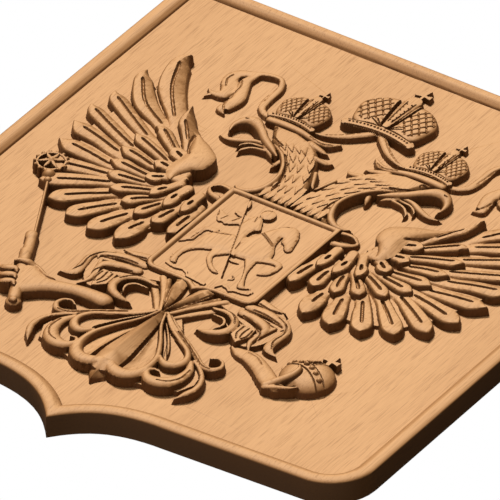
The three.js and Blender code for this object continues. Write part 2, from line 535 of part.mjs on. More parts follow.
// Rider on a horse, with a spear, over broken ground. Heights are above the shield's ground.
function rider() {
  const legs = [
    [
      [-12, -21.5], [-20, -26.5], [-25.5, -32], [-27, -40], [-24.6, -47.5], [-29.5, -47.5],
      [-31.5, -40], [-31, -30], [-28.5, -20], [-26, -10], [-18, -12],
    ],
    [
      [-2, -20], [-5.5, -24.5], [-8.6, -28.8], [-4, -36], [3.5, -41.5], [0, -43], [-6, -39.5],
      [-13, -30.5], [-13, -20],
    ],
    [
      [9, -19], [14, -28], [18.5, -38], [21, -46.5], [25.2, -48.2], [31.5, -43.5], [26.8, -45],
      [23, -40], [18.8, -30], [16.4, -17],
    ],
    [
      [18, -11], [28, -10], [32.6, -12], [33.8, -17.5], [31.8, -25], [28, -28.6], [24, -29.6],
      [27, -25.5], [29.4, -19], [28, -15.3], [20, -17.3], [15, -20],
    ],
  ];
  const body = [
    [-24, -6], [-14, -2], [-4, 0], [3, 12], [9, 22.5], [15, 26], [20, 24.8], [23.5, 20.5],
    [25.6, 16], [27.5, 9], [28.6, 3.5], [26.4, 0.9], [23.4, 2.2], [21, 5.5], [17.5, 8], [15.8, 12],
    [16.6, 5], [18.5, 0], [21.5, -5], [22.6, -11], [20, -14], [16, -19], [9, -20.5], [0, -21.5],
    [-10, -21.5], [-18, -24], [-26, -18],
  ];
  const tailHair = [
    [-23, -6.5], [-28.4, -7.4], [-29.4, -13], [-29.8, -20], [-33, -23.5], [-37, -27.4],
    [-36.4, -20], [-35, -11], [-32.6, -5], [-28, -2.4], [-22, -2],
  ];
  const cloak = [
    [-13, 18], [-20, 15.5], [-27, 14], [-35, 17], [-32.4, 9], [-29, 4.6], [-26, 5.4], [-23.4, 4.2],
    [-19.5, 6.2], [-16, 8.6], [-12, 7.4],
  ];
  const torso = [
    [-10.5, 22], [-5, 21], [-1.5, 15], [0.4, 10], [-2.8, 6.5], [-3.2, 0], [0, -12], [2.6, -21.5],
    [-2, -20.5], [-5.4, -12], [-9.5, -2], [-14, 8], [-13, 16],
  ];
  const earth = [
    [
      [-31, -51], [-27, -52], [-23, -53], [-17, -51.6], [-13, -54], [-11.5, -56.4], [-5, -57],
      [4, -58.4], [4, -55], [-5, -53.6], [-11.5, -53], [-17, -48.2], [-27, -48.6], [-31, -47.6],
    ],
    [
      [10, -57.4], [13, -52], [17, -53], [20, -55], [23, -53], [29, -52.4], [34, -47], [33, -44.6],
      [29, -49], [23, -49.6], [13, -48.6], [10, -54],
    ],
  ];
  const strokes = [
    [[-11, 19, 2, 2, 2], [-18, 17.6, 1.8, 1.8, 1.8], [-24, 19.4, 1.6, 1.6, 1.6]],
    [[-25.5, 37.5, 0.5, 0.5, 2.2], [-8, -4.5, 0.6, 0.6, 2.9], [8, -44, 0.5, 0.5, 1.6]],
    [[-23.2, 34.5, 0.5, 0.5, 2], [-21.4, 30, 1.5, 1.5, 2.6], [-19.8, 26, 0.5, 0.5, 2]],
  ];
  const flatForms = [
    ...legs.map((outline) => [outline, 1.2]), ...earth.map((outline) => [outline, 1]),
    [tailHair, 1.2], [body, 1.8], [cloak, 1.5], [torso, 2.3],
  ];
  const level = (rise) => BREAST_GROUND + rise;
  return [
    ...flatForms.map(([outline, rise]) => plate(outline, level(rise), { chamfer: 0 })),
    ...strokes.map((rows) => band(rows.map(([u, v, left, right, rise]) => [
      u, v, left, right, level(rise), level(rise * 0.8), level(rise * 0.8),
    ]), { steps: 1, flat: true })),
    boss(-4.8, 26.6, 5.5, level(2.6), { sides: 10, rings: 2, shoulder: 0.86 }),
  ];
}

function leg(side) {
  const plumes = [
    [[-41, -50, 4.4, 4, 5.4], [-52, -53, 3.4, 4, 5.6], [-63, -51, 0.4, 0.4, 3.8]],
    [
      [-40, -59, 4, 4, 5.6], [-55, -60, 4, 4.6, 6.4], [-69, -64, 2.4, 3, 5.4],
      [-69.5, -70, 0.4, 0.4, 4],
    ],
    [
      [-60, -57, 2, 2, 4.8], [-69, -60.5, 2.6, 2.4, 5.2], [-74, -69, 3, 3.4, 5.2],
      [-73.6, -80, 4, 3.6, 5.2], [-74.5, -88, 4.6, 3, 4.6], [-83.5, -93, 0.4, 0.4, 3],
    ],
    [
      [-66, -70, 2, 2, 5.6], [-63, -80, 2.4, 2.4, 5.8], [-61, -90, 2.4, 2.6, 5.2],
      [-66, -99.5, 0.6, 0.6, 3.6],
    ],
    [
      [-40, -67, 4, 4, 6.2], [-52, -69, 4, 4.4, 6.8], [-62, -75, 3, 4, 6.6],
      [-59, -86, 0.6, 0.6, 5.4],
    ],
    [
      [-22, -73, 1.5, 2.4, 5], [-33, -73, 2.6, 3, 6.4], [-41, -78, 3, 3.6, 7],
      [-44, -86, 3.4, 4, 7.4], [-41, -93.5, 3.4, 4, 7.4], [-33, -97, 2.8, 3.4, 6.6],
      [-24, -97, 0.4, 0.4, 4],
    ],
    [
      [-25, -78, 1.2, 1.2, 4.6], [-33, -79, 1.6, 1.6, 5.4], [-37, -84, 1.7, 1.7, 5.8],
      [-35.5, -90, 1.2, 1.2, 5.4], [-32.5, -92.5, 0.3, 0.3, 4.6],
    ],
  ];
  const cuff = [[-59, -78], [-46.5, -78], [-46.5, -92], [-55, -99], [-60, -88]];
  const ground = [
    [-42, -48], [-58, -50], [-70, -60], [-73, -70], [-68, -88], [-58, -96], [-48, -90], [-44, -80],
    [-30, -70], [-20, -64],
  ];
  return [
    plate(ground, 3.6, { side, chamfer: 0 }),
    ...plumes.map((rows) => band(rows, { side, edge: 0.68, steps: 1 })),
    plate(cuff, 6.4, { side, chamfer: 1.2 }),
  ];
}

function tail(side) {
  const ground = [
    [0, -60], [-16, -62], [-9, -88], [-20, -103], [-44, -120], [-55, -131], [-58, -146],
    [-53, -158], [-34, -163], [-24, -166], [0, -164],
  ];
  const bowl = [
    [-6, -100], [-20, -111], [-33, -119], [-40, -129], [-39, -138], [-31, -141], [-25, -134],
    [-17, -118],
  ];
  const blade = [
    [4, -92], [-2.4, -97], [-5.4, -106], [-8, -119], [-9.8, -132], [-12, -146], [-13.4, -156],
    [-11, -161], [4, -163],
  ];
  const bands = [
    [
      [-24, -62, 3, 3, 4.6], [-16, -73, 2.8, 2.8, 5.2], [-9.4, -84, 2.4, 2.4, 6],
      [-3, -96, 2, 2, 7],
    ],
    [[-5, -96, 2.2, 2.2, 6], [-15, -102, 2, 2, 4.4], [-25, -108, 0.4, 0.4, 2.6]],
    [
      [-3, -96, 1.8, 1.8, 7.8], [-14, -105, 2.2, 2.4, 7.2],
      [-42, -122, 2.8, 2.8, 6.4], [-50, -128, 3, 2.8, 6.4], [-57.5, -129.8, 3, 3, 6.6],
      [-62.2, -125, 2.4, 2.6, 6.4], [-60.8, -119.4, 1.8, 2, 6.2], [-56, -117, 1.5, 1.6, 6],
      [-51.5, -119.5, 1.3, 1.3, 5.8],
    ],
    [
      [-5, -99, 1.8, 1.8, 7.6], [-14, -107.5, 2.2, 2.4, 7.4],
      [-36, -123, 2.4, 3.2, 8], [-40.6, -131, 2.8, 3.6, 8.2], [-39, -138, 3.4, 4.4, 8.4],
      [-33.6, -141.6, 3.6, 4.4, 8.6], [-28, -139.6, 2.8, 2.8, 8.4], [-24, -134.5, 0.4, 0.4, 7.6],
    ],
    [
      [-44, -130, 2.4, 2.4, 6.6], [-48.6, -139, 4.4, 3.6, 7.2], [-48.4, -149, 5.6, 4.8, 7.8],
      [-44, -157.4, 7, 5.6, 8.2], [-37, -160.6, 6.4, 5.4, 8.4], [-30.6, -159, 4.4, 4.4, 8.2],
      [-27.4, -154, 2.6, 2.6, 7.8], [-29.5, -149.8, 1.8, 1.8, 7.4], [-33.5, -150.2, 1.2, 1.2, 7],
    ],
    [
      [-45, -128, 1.6, 2, 6.6], [-54, -134, 2.2, 2.2, 6.4],
      [-62, -151, 3, 2.8, 6.2], [-59.4, -159, 3, 2.8, 5.8], [-55, -167, 0.4, 0.4, 3.4],
    ],
    [
      [-2, -97, 1.6, 1.6, 8], [-7.4, -110, 1.8, 2, 7.8], [-16.4, -124, 2, 2.4, 7.8],
      [-23.6, -138, 2.6, 3, 8], [-25.4, -150, 3.4, 3.4, 8.2], [-22.6, -159.6, 5, 5.4, 8.4],
      [-16, -164.6, 6, 6, 8.6], [-1, -158, 4, 4.6, 8.4],
    ],
    [
      [-10, -61, 5.6, 5, 7.4], [-7.6, -73, 5.6, 4.6, 8.6], [-3.6, -85, 3.6, 3.2, 9.2],
      [-0.4, -97, 0.5, 0.5, 8.8],
    ],
    [
      [-19, -63, 3, 3, 6], [-13, -74, 2.8, 2.8, 7], [-6.6, -86, 2.2, 2.2, 8],
      [-1.6, -97, 0.5, 0.5, 8.4],
    ],
  ];
  return [
    plate(ground, 3, { side, chamfer: 0 }),
    plate(bowl, 4.4, { side, chamfer: 0 }),
    plate(blade, 7.4, { side, chamfer: 0 }),
    ...bands.map((rows) => band(rows, { side, edge: 0.62, steps: 1 })),
  ];
}

function sceptre() {
  const rods = [
    [[-141, -22, 1.8, 1.8, 7], [-128, -48, 1.8, 1.8, 6.2], [-116, -72, 1.8, 1.8, 6]],
    [[-117.5, -72, 4.2, 4.2, 6.4], [-109, -90, 4.6, 4.6, 6.6]],
    [[-118, -71.8, 4.8, 4.8, 7], [-116.6, -74.8, 4.8, 4.8, 7]],
    [[-110, -89, 5, 5, 7.4], [-88, -134, 5, 5, 7.8]],
  ];
  const head = SCEPTRE_HEAD_AT;
  return [
    ...rods.map((rows) => band(rows, { edge: 0.5, steps: 1 })),
    boss(-86.4, -137.4, 5.6, 6.4, { sides: 8, rings: 2, shoulder: 0.5 }),
    boss(-146, -13.2, 5, 9.2, { sides: 8, rings: 2, shoulder: 0.3 }),
    boss(-142.8, -19, 3, 8.2, { sides: 8, rings: 1, shoulder: 0.6 }),
    boss(...head, SCEPTRE_HEAD_RADIUS, SCEPTRE_HEAD_RISE - 2, { sides: 12, rings: 1, shoulder: 0.9 }),
    boss(...head, SCEPTRE_HEAD_RADIUS / 2, SCEPTRE_HEAD_RISE, { sides: 8, rings: 2, shoulder: 0.7 }),
  ];
}

function leftFoot() {
  const shank = [
    [-33, -103], [-34, -109], [-38, -112.4], [-47, -112], [-58, -112.4], [-68, -115.6],
    [-77, -120.6], [-87, -129], [-94, -130], [-103, -104], [-96, -98.5], [-88, -102], [-80, -104.6],
    [-70, -102.4], [-58, -99.6], [-46, -98.6], [-38, -99],
  ];
  const toes = [
    [
      [-114.5, -111, 2.6, 2.6, 5.6], [-102.5, -112.4, 3.2, 3.2, 10],
      [-99.5, -114.6, 1.4, 1.4, 9.2],
    ],
    [
      [-111, -118, 2.6, 2.6, 5.6], [-99.4, -118.6, 3, 3, 10],
      [-96.4, -120.8, 1.4, 1.4, 9.2],
    ],
    [
      [-107, -124.6, 2.6, 2.6, 5.6], [-96, -124.8, 3, 3, 10],
      [-93, -127, 1.4, 1.4, 9.2],
    ],
    [
      [-95, -100, 2.6, 2.6, 6.6], [-104.6, -102.6, 2.8, 2.8, 9.8],
      [-107.6, -105, 1.4, 1.4, 9.2],
    ],
  ];
  return [
    plate(shank, 6.8, { chamfer: 3, fall: 2.4 }),
    ...toes.map((rows) => band(rows, { edge: 0.75, steps: 1 })),
  ];
}

function orbAndFoot() {
  const shank = [
    [51, -97, 0.5, 0.5, 2.4], [60, -100.6, 5.4, 4.6, 3.6], [70, -102.6, 7, 6, 4.8],
    [82, -109, 7, 6.6, 6], [93, -117, 7.4, 7, 6.8], [102, -121, 6, 6, 6.8],
  ];
  const girdle = [
    [96, -94.2, 3.2, 3.2, 6.2], [102, -93.6, 3.2, 3.2, 8.4],
    [112, -96.8, 3.2, 3.2, 9.8], [122, -103.6, 3.2, 3.2, 8.2],
    [126, -107.4, 3.2, 3.2, 6],
  ];
  const upright = [[107.4, -92.6, 3, 3, 9.2], [112.4, -84, 3, 3, 6]];
  const cross = [
    [113.5, -84.5], [117, -84.5], [117, -81], [121.6, -82.4], [122, -77.4], [118, -77.8],
    [118.4, -72.4], [113, -74], [113.6, -78], [109.4, -76.4], [109, -80.4], [113, -80.8],
  ];
  const claws = [
    [
      [95, -123, 3.6, 3.6, 7], [106, -109.4, 3.6, 3.6, 11.2],
      [107.4, -103.6, 3, 3, 12], [105.2, -99.6, 1.6, 1.6, 11.2],
    ],
    [
      [96, -125, 3, 3, 6.4], [104, -122.4, 2.6, 2.6, 7.6], [111, -119.4, 2, 2, 7.8],
      [116.6, -114.5, 0.4, 0.4, 7.6],
    ],
  ];
  return [
    band(shank, { edge: 0.5, steps: 1 }),
    boss(111, -100, ORB_RADIUS, ORB_RISE, { sides: 16, rings: 3, shoulder: 0.3 }),
    ...[girdle, upright].map((rows) => band(rows, { edge: 0.96, steps: 1, flat: true })),
    plate(cross, 5.6, { chamfer: 0 }),
    ...claws.map((rows) => band(rows, { edge: 0.7, steps: 1 })),
  ];
}

function plaque() {
  const tip = band([
    [0, TIP_TOP, 7, 7, 7.4], [0, TIP_TOP - 10, 8, 8, 7], [0, TIP_END, 0.4, 0.4, 3.4],
  ], { edge: 0.3, steps: 1 });
  const halves = [1, -1].flatMap((side) => [
    ...wing(side), ...ribbons(side), ...head(side), ...leg(side), ...tail(side),
    ...crown(-SIDE_CROWN_OUT * side, SIDE_CROWN_FOOT, 18, 28.5, 6.2),
  ]);
  const single = [
    ...crown(0, 143.5, 28, 39.5, 6.6), ...sceptre(), ...leftFoot(), ...orbAndFoot(), tip,
  ];
  const carving = join([...halves, ...single]);
  const shield = join([breastShield(), ...rider()]);
  return join([board(), carving, shield]);
}

const wood = new THREE.MeshStandardMaterial({ color: 0xdcae78, roughness: 0.6, metalness: 0 });

function meshOf(solid, name) {
  const { vertProperties, triVerts, numProp } = solid.getMesh();
  const geometry = new THREE.BufferGeometry();
  const positions = new Float32Array(triVerts.length * 3);
  triVerts.forEach((vertex, i) => {
    for (let k = 0; k < 3; k++) positions[3 * i + k] = vertProperties[vertex * numProp + k];
  });
  geometry.setAttribute("position", new THREE.BufferAttribute(positions, 3));
  geometry.computeVertexNormals();
  const mesh = new THREE.Mesh(geometry, wood);
  mesh.name = name;
  return mesh;
}

const group = new THREE.Group();
group.add(meshOf(plaque(), "carved_shield_plaque"));
export default group;
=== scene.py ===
"""Carved heraldic shield plaque: the finely carved board, its wood, the light and the camera."""
import math

import bpy
import numpy as np
from mathutils import Matrix, Vector


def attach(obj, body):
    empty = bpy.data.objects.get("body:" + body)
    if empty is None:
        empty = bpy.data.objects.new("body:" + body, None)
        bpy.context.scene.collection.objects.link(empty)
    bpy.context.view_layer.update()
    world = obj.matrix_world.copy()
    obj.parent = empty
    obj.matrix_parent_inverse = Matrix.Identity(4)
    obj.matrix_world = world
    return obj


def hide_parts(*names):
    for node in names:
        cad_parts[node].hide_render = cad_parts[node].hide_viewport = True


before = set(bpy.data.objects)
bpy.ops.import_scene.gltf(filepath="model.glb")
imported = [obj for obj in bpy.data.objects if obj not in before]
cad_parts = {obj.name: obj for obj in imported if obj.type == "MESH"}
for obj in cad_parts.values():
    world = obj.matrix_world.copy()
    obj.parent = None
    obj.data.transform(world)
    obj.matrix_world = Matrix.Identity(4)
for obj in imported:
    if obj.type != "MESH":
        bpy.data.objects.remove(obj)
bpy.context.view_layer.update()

MM = 0.001

# Board, in millimetres
WIDTH = 400.0
HEIGHT = 450.0
THICKNESS = 13.4
CORNER = 34.0
DROP = 31.0
POINT_HALF = 66.0
EDGE_FALL = 5.5
RIM = 12.0
RIM_EDGE = 1.6
RIM_FOOT = 0.9
RIM_CREST = 3.8
RIM_EASE = 1.4

# Carving
GRID = 1024
WALL = 0.75
HIGHEST = 11.9
SHIELD_FIELD = 5.2
# Foot of a crown, across and up, its half width, height, rise and the pearls on each side
SIDE_CROWN = (-52.6, 122.8, 18, 28.5, 6.0, 7)
MIDDLE_CROWN = (0, 143.5, 28, 39.5, 6.4, 9)

# Mesh: what may be left out in millimetres, faces kept, the bend drawn sharp, and how level is level
TOLERANCE = 0.03
TRIANGLES = 186000
SHARP_BEND = math.radians(38)
LEVEL = 0.99999

# Wood: places on a ramp and their colours
TONES = [(0.3, (0.655, 0.345, 0.143)), (0.7, (0.73, 0.395, 0.169))]
STREAKS = [(0.38, (0.80, 0.75, 0.69)), (0.55, (1.0, 1.0, 1.0))]
FLECKS = [(0.33, (0.55, 0.47, 0.38)), (0.42, (1.0, 1.0, 1.0))]
STREAK_SHARE = 0.45
FLECK_SHARE = 0.5
GRAIN_STRETCH = 0.03
# Painted shade: a multiplier on the wood's colour by how level a face is, darkest on upright walls and
# full on faces turned to the front
PAINTED_SLOPE_SHADE = [(0.08, (0.155, 0.11, 0.045)), (0.985, (1.0, 1.0, 1.0)), (0.45, (0.22, 0.16, 0.09)),
             (0.70, (0.40, 0.33, 0.23)), (0.88, (0.66, 0.59, 0.50))]

# Light
SUN_TOWARDS = (-0.36, -0.87, 0.30)
SUN_STRENGTH = 3.5
SUN_WIDTH = math.radians(12)
SKY_STRENGTH = 0.08


# Curves

def through(padded, steps):
    """Smooth samples between all rows but the first and the last two."""
    t = np.linspace(0, 1, steps, endpoint=False)[:, None]
    spans = []
    for a, b, c, d in zip(padded, padded[1:], padded[2:], padded[3:]):
        spans.append(0.5 * (2 * b + (c - a) * t + (2 * a - 5 * b + 4 * c - d) * t ** 2
                            + (3 * b - a - 3 * c + d) * t ** 3))
    return spans


def along(rows, steps=8):
    """Smooth samples through rows of numbers."""
    rows = np.asarray(rows, float)
    if len(rows) == 2:
        t = np.linspace(0, 1, steps + 1)[:, None]
        return rows[0] * (1 - t) + rows[1] * t
    padded = np.vstack([2 * rows[0] - rows[1], rows, 2 * rows[-1] - rows[-2]])
    return np.vstack(through(padded, steps) + [rows[-1:]])


def closed(outline, steps=6):
    """Smooth closed curve through the corners of an outline."""
    corners = np.asarray(outline, float)
    return np.vstack(through(np.vstack([corners[-1:], corners, corners[:2]]), steps))


def written_out(row, edge):
    """Row of a band with both of its widths and the heights of both of its edges."""
    row = list(row)
    if len(row) == 4:
        row.insert(2, row[2])
    return row if len(row) > 5 else row + [row[4] * edge] * 2


def run_of(line):
    """Distance covered at each point of a line."""
    return np.concatenate([[0], np.cumsum(np.hypot(*np.diff(line, axis=0).T))])


def to_segment(u, v, a, b):
    """Squared distance from places to the segment from a to b, and the share of it they lie at."""
    e = b - a
    du, dv = u - a[0], v - a[1]
    t = np.clip((du * e[0] + dv * e[1]) / max(e @ e, 1e-9), 0, 1)
    return (du - t * e[0]) ** 2 + (dv - t * e[1]) ** 2, t


def board_half():
    """Right half of the outline, from the top corner down to the point."""
    side, top = WIDTH / 2, HEIGHT / 2
    low = -top + DROP + EDGE_FALL
    turn = np.linspace(0, -math.pi / 2, 25)
    corner = np.c_[side - CORNER + CORNER * np.cos(turn), low + CORNER + CORNER * np.sin(turn)]
    ends = np.array([(POINT_HALF, -top + DROP), (POINT_HALF * 0.46, -top + DROP - 1),
                     (POINT_HALF * 0.22, -top + DROP * 0.58), (0, -top)])
    t = np.linspace(0, 1, 33)[:, None]
    ogee = ((1 - t) ** 3 * ends[0] + 3 * (1 - t) ** 2 * t * ends[1]
            + 3 * (1 - t) * t ** 2 * ends[2] + t ** 3 * ends[3])
    return np.vstack([[(side, top)], corner, ogee])


HALF = board_half()
OUTLINE = np.vstack([HALF, HALF[-2::-1] * (-1, 1)])


# Height field

class Relief:
    """Heights over the field, on a grid that follows the board's lower edge."""

    def __init__(self):
        across = np.linspace(-WIDTH / 2, WIDTH / 2, GRID + 1)
        lower = HALF[:0:-1]
        low = np.interp(np.abs(across), lower[:, 0], lower[:, 1])
        share = np.linspace(0, 1, GRID + 1)[:, None]
        self.columns = across
        self.u = np.repeat(across[None, :], GRID + 1, 0)
        self.v = low[None, :] * (1 - share) + HEIGHT / 2 * share
        self.z = np.zeros_like(self.u)

    def window(self, points, margin):
        """Rows and columns of the grid round some points, or None off the board."""
        lo, hi = points.min(0) - margin, points.max(0) + margin
        a, b = np.searchsorted(self.columns, (lo[0], hi[0]))
        block = self.v[:, a:b]
        if block.size == 0:
            return None
        rows = np.flatnonzero((block.max(1) >= lo[1]) & (block.min(1) <= hi[1]))
        if rows.size == 0:
            return None
        return slice(rows[0], rows[-1] + 1), slice(a, b)

    def nearest(self, win, line):
        """Distance to a line of points, its side (left is +1) and the place along it."""
        u, v = self.u[win], self.v[win]
        best = np.full(u.shape, 1e9)
        side = np.ones(u.shape)
        place = np.zeros(u.shape)
        for k, (a, b) in enumerate(zip(line, line[1:])):
            d, t = to_segment(u, v, a, b)
            closer = d < best
            best[closer] = d[closer]
            turn = (b[0] - a[0]) * (v - a[1]) - (b[1] - a[1]) * (u - a[0])
            side[closer] = np.where(turn >= 0, 1, -1)[closer]
            place[closer] = (k + t)[closer]
        return np.sqrt(best), side, place

    def raise_to(self, win, height, depth_inside, wall=WALL):
        """Keeps the higher of the wood there and a form whose wall starts at its edge."""
        full = height * np.clip(depth_inside / wall, 0, 1)
        self.z[win] = np.maximum(self.z[win], np.where(depth_inside > 0, full, -9))

    def band(self, rows, side=1, edge=0.65, form="round", bevel=0.0, drop=1.0, tip=0.0,
             power=2.0, steps=8, wall=WALL):
        """Carved band. Rows: across, up, width or left and right width, crest (, both edges)."""
        full = [written_out(row, edge) for row in rows]
        if side < 0:
            full = [(-u, v, r, l, h, b, a) for u, v, l, r, h, a, b in full]
        line = along(full, steps)
        reach = max(line[:, 2].max(), line[:, 3].max()) + 0.5
        win = self.window(line[:, :2], reach)
        if win is None:
            return
        d, turn, place = self.nearest(win, line[:, :2])
        at = lambda k: np.interp(place, np.arange(len(line)), line[:, k])
        width = np.where(turn > 0, at(2), at(3))
        if tip:
            run = run_of(line[:, :2])
            left = np.interp(place, np.arange(len(line)), run[-1] - run)
            width = width * (1 - np.clip(1 - left / tip, 0, 1) ** power)
        width = np.maximum(width, 0.05)
        x = np.clip(d / width, 0, 1)
        low = np.where(turn > 0, at(5), at(6))
        forms = {"round": np.sqrt(1 - x * x), "roof": 1 - x, "soft": 1 - x * x,
                 "swell": (1 - x * x) ** 2, "flat": np.ones_like(x)}
        first, second = (form, form) if isinstance(form, str) else form[::side]
        swell = np.where(turn > 0, forms[first], forms[second])
        height = low + (at(4) - low) * swell
        if bevel:
            height = height - drop * np.clip(1 - (width - d) / bevel, 0, 1)
        self.raise_to(win, height, width - d, wall)

    def plate(self, outline, height, side=1, bevel=0.0, drop=1.0, dome=0.0, reach=8.0,
              smooth=True, wall=WALL):
        """Raised outline with a cut edge; a dome swells within reach of the edge."""
        points = np.asarray(outline, float) * (side, 1)
        if smooth:
            points = closed(points)
        win = self.window(points, 1)
        if win is None:
            return
        inside = self.inside(win, points)
        level = np.full(inside.shape, float(height))
        if dome:
            level += dome * np.sqrt(1 - (1 - np.clip(inside / reach, 0, 1)) ** 2)
        if bevel:
            level -= drop * np.clip(1 - inside / bevel, 0, 1)
        self.raise_to(win, level, inside, wall)

    def inside(self, win, outline):
        """Distance to a closed outline, positive inside it."""
        u, v = self.u[win], self.v[win]
        best = np.full(u.shape, 1e9)
        within = np.zeros(u.shape, bool)
        for a, b in zip(outline, np.roll(outline, -1, axis=0)):
            best = np.minimum(best, to_segment(u, v, a, b)[0])
            if a[1] != b[1]:
                crossing = (a[1] > v) != (b[1] > v)
                within ^= crossing & (u < a[0] + (v - a[1]) * (b[0] - a[0]) / (b[1] - a[1]))
        return np.where(within, 1, -1) * np.sqrt(best)

    def boss(self, u, v, radius, height, side=1, shoulder=0.4, angle=0.0, wall=0.5):
        """Round or oval boss; its shoulder is a share of its height."""
        long, short = radius if isinstance(radius, tuple) else (radius, radius)
        centre = np.array([[u * side, v]])
        win = self.window(centre, max(long, short) + 0.5)
        if win is None:
            return
        c, s = math.cos(math.radians(angle * side)), math.sin(math.radians(angle * side))
        du, dv = self.u[win] - centre[0, 0], self.v[win] - v
        x, y = (du * c + dv * s) / long, (dv * c - du * s) / short
        q = np.sqrt(x * x + y * y)
        dome = np.sqrt(np.clip(1 - q * q, 0, 1))
        level = height * (shoulder + (1 - shoulder) * dome)
        self.raise_to(win, level, (1 - q) * min(long, short), wall)

    def emboss(self, points, width, rise, side=1, form="flat", wall=0.3):
        """Raise what is there along a line."""
        line = along(np.asarray(points, float) * (side, 1), 4)
        win = self.window(line, width + 0.5)
        if win is None:
            return
        d = self.nearest(win, line)[0]
        x = np.clip(d / width, 0, 1)
        share = np.sqrt(1 - x * x) if form == "round" else np.clip((width - d) / wall, 0, 1)
        self.z[win] += rise * share

    def groove(self, points, width, depth, side=1, taper=0.3, form="round", steps=8, floor=0.0):
        """Cut along a line; it thins towards both ends and goes no lower than the floor."""
        line = along(np.asarray(points, float) * (side, 1), steps)
        win = self.window(line, width + 0.5)
        if win is None:
            return
        d, _, place = self.nearest(win, line)
        marks = run_of(line)
        run = np.interp(place, np.arange(len(line)), marks)
        near_end = np.clip(np.minimum(run, marks[-1] - run) / (width * 2.2), 0, 1)
        share = taper + (1 - taper) * np.sqrt(near_end * (2 - near_end))
        x = np.clip(d / (width * share), 0, 1)
        hollow = 1 - x * x if form == "round" else 1 - x
        now = self.z[win]
        self.z[win] = np.where(x < 1, np.maximum(now - depth * share * hollow,
                                                 np.minimum(now, floor)), now)


# Feathers of the left-hand wing: tip, far end, middle and near end of the slot, root, widths on
# the leading and on the trailing side from far to near, and the fall of the trailing side.
LONG = [
    ((-144.6, 147), (-147.4, 135), (-137, 111), (-118, 86), (-104, 68),
     (6, 8.8, 4.3), (6.4, 8.2, 8), 4),
    ((-160, 117.5), (-157, 107), (-141, 87), (-120, 75), (-98, 58),
     (5.4, 7.2, 5.5), (5.8, 7.6, 5), 2.5),
    ((-165.5, 88), (-159, 82), (-140, 70.5), (-121, 60), (-96, 48), (6, 6, 4.8), (6, 5.6, 5), 2),
    ((-170, 67.5), (-163, 63), (-144, 54), (-121, 44.5), (-94, 38), (5.8, 5.6, 5), (5.4, 5.8, 5), 1.6),
    ((-168.5, 45.5), (-158, 42.5), (-142, 39), (-126, 35), (-92, 31), (8, 6.3, 6), (6, 6, 5.4), 1.2),
    ((-165, 23.5), (-153, 23), (-138, 22), (-122, 20.5), (-90, 22), (8, 7, 4.5), (6.5, 6, 6), 1),
    ((-159, -1), (-147, 2), (-133, 6.5), (-117, 11), (-86, 18), (6.5, 6, 5), (7, 6, 5), 0),
    ((-149, -21), (-139, -14), (-125, -4.5), (-111, 4.5), (-84, 14), (6.5, 5.6, 4.6), (6.6, 6, 4.6), 0),
    ((-132.5, -35), (-125, -26), (-114, -15.5), (-103, -5), (-82, 9),
     (7, 5.6, 4.2), (6.6, 5.6, 4.6), 0),
    ((-112.5, -44), (-108, -35), (-101, -24), (-94, -13), (-76, 8), (6.8, 6, 4.6), (6.6, 6, 4.6), 0),
    ((-92.5, -49), (-89, -38), (-85.5, -28), (-82, -18), (-72, 8), (7.6, 7, 5), (6.6, 6, 4.6), 0),
    ((-71.5, -48.5), (-70, -34), (-69.2, -27), (-68.5, -20), (-66, 6), (7.4, 7, 5), (6.8, 6.4, 4.6), 0),
]
MIDDLE = [
    ((-112.5, 100), (-106.5, 82), (-101, 75.5), (-95, 68), (-86, 56), (4.4, 4.4, 4), (7, 8, 7), 4.5),
    ((-121, 68), (-113, 68), (-103, 60.5), (-93, 53), (-84, 47), (6, 5.2, 4), (4.6, 4.6, 4), 1.5),
    ((-127, 54.5), (-119.5, 52), (-106, 47), (-93, 42), (-82, 40), (5.8, 5, 4), (5, 5, 4), 1),
    ((-126.5, 37.5), (-118, 36.5), (-108, 35), (-98, 33), (-80, 32), (6, 5.2, 4), (5.4, 5, 4), 1),
    ((-124, 21.5), (-114.5, 22.5), (-104, 22), (-93, 22), (-78, 24), (6.4, 5, 4), (6, 5, 4), 0.6),
    ((-117, 9), (-108.5, 10), (-100, 12), (-91, 14.5), (-76, 20), (5, 4.4, 3.6), (5.6, 4.6, 4), 0),
    ((-106, -5), (-99, 0), (-91, 5), (-83, 10), (-72, 17), (5, 4.4, 3.6), (5, 4.4, 4), 0),
    ((-91.5, -13), (-87, -7.5), (-82.5, -2), (-77, 4), (-68, 14), (5.4, 4.4, 3.4), (5, 4.4, 3.4), 0),
    ((-76.5, -20), (-74.5, -13), (-72, -6), (-70, 1), (-64, 12), (5.2, 4.6, 3.6), (5, 4.4, 3.6), 0),
    ((-61.5, -21.5), (-60.5, -14.5), (-59.6, -7), (-59, 0), (-57, 12), (6, 5.4, 4.4), (5.2, 4.8, 4), 0),
    ((-47, -26), (-46, -15.5), (-46.5, -8), (-47, 0), (-48, 12), (6.2, 5.6, 4.6), (5, 5, 4.4), 0),
]
SHORT = [
    ((-97, 52), (-91.5, 50.5), (-87, 48.5), (-83, 46.5), (-74, 42), (6.5, 6, 5), (6, 6, 6), 0),
    ((-98, 34), (-93, 35), (-89.5, 34.7), (-86, 34), (-74, 34), (7, 5.6, 5), (4.6, 5, 5), 0),
    ((-92.5, 15.5), (-89, 19), (-86, 21), (-83, 23.5), (-72, 28), (5.6, 5.4, 4), (6, 5.4, 5), 0),
    ((-79, 1), (-77.5, 9), (-76, 12), (-74.5, 14.5), (-70, 24), (4.6, 4.6, 4), (5, 5, 4), 0),
    ((-64.5, -4.5), (-65, 6), (-65, 9), (-65, 12), (-63, 22), (5.4, 5.4, 4.4), (5, 5.2, 4.4), 0),
    ((-51.8, -3.5), (-52.5, 6), (-52.5, 9), (-52.5, 12), (-52.5, 20),
     (5.2, 5.4, 4.4), (4.6, 5, 4.4), 0),
]

# Width and depth of the slot down the middle of a feather
SLOT = (1.25, 2.4)
SHORT_SLOT = (1.2, 3.0)
STEEP_FALL = 2


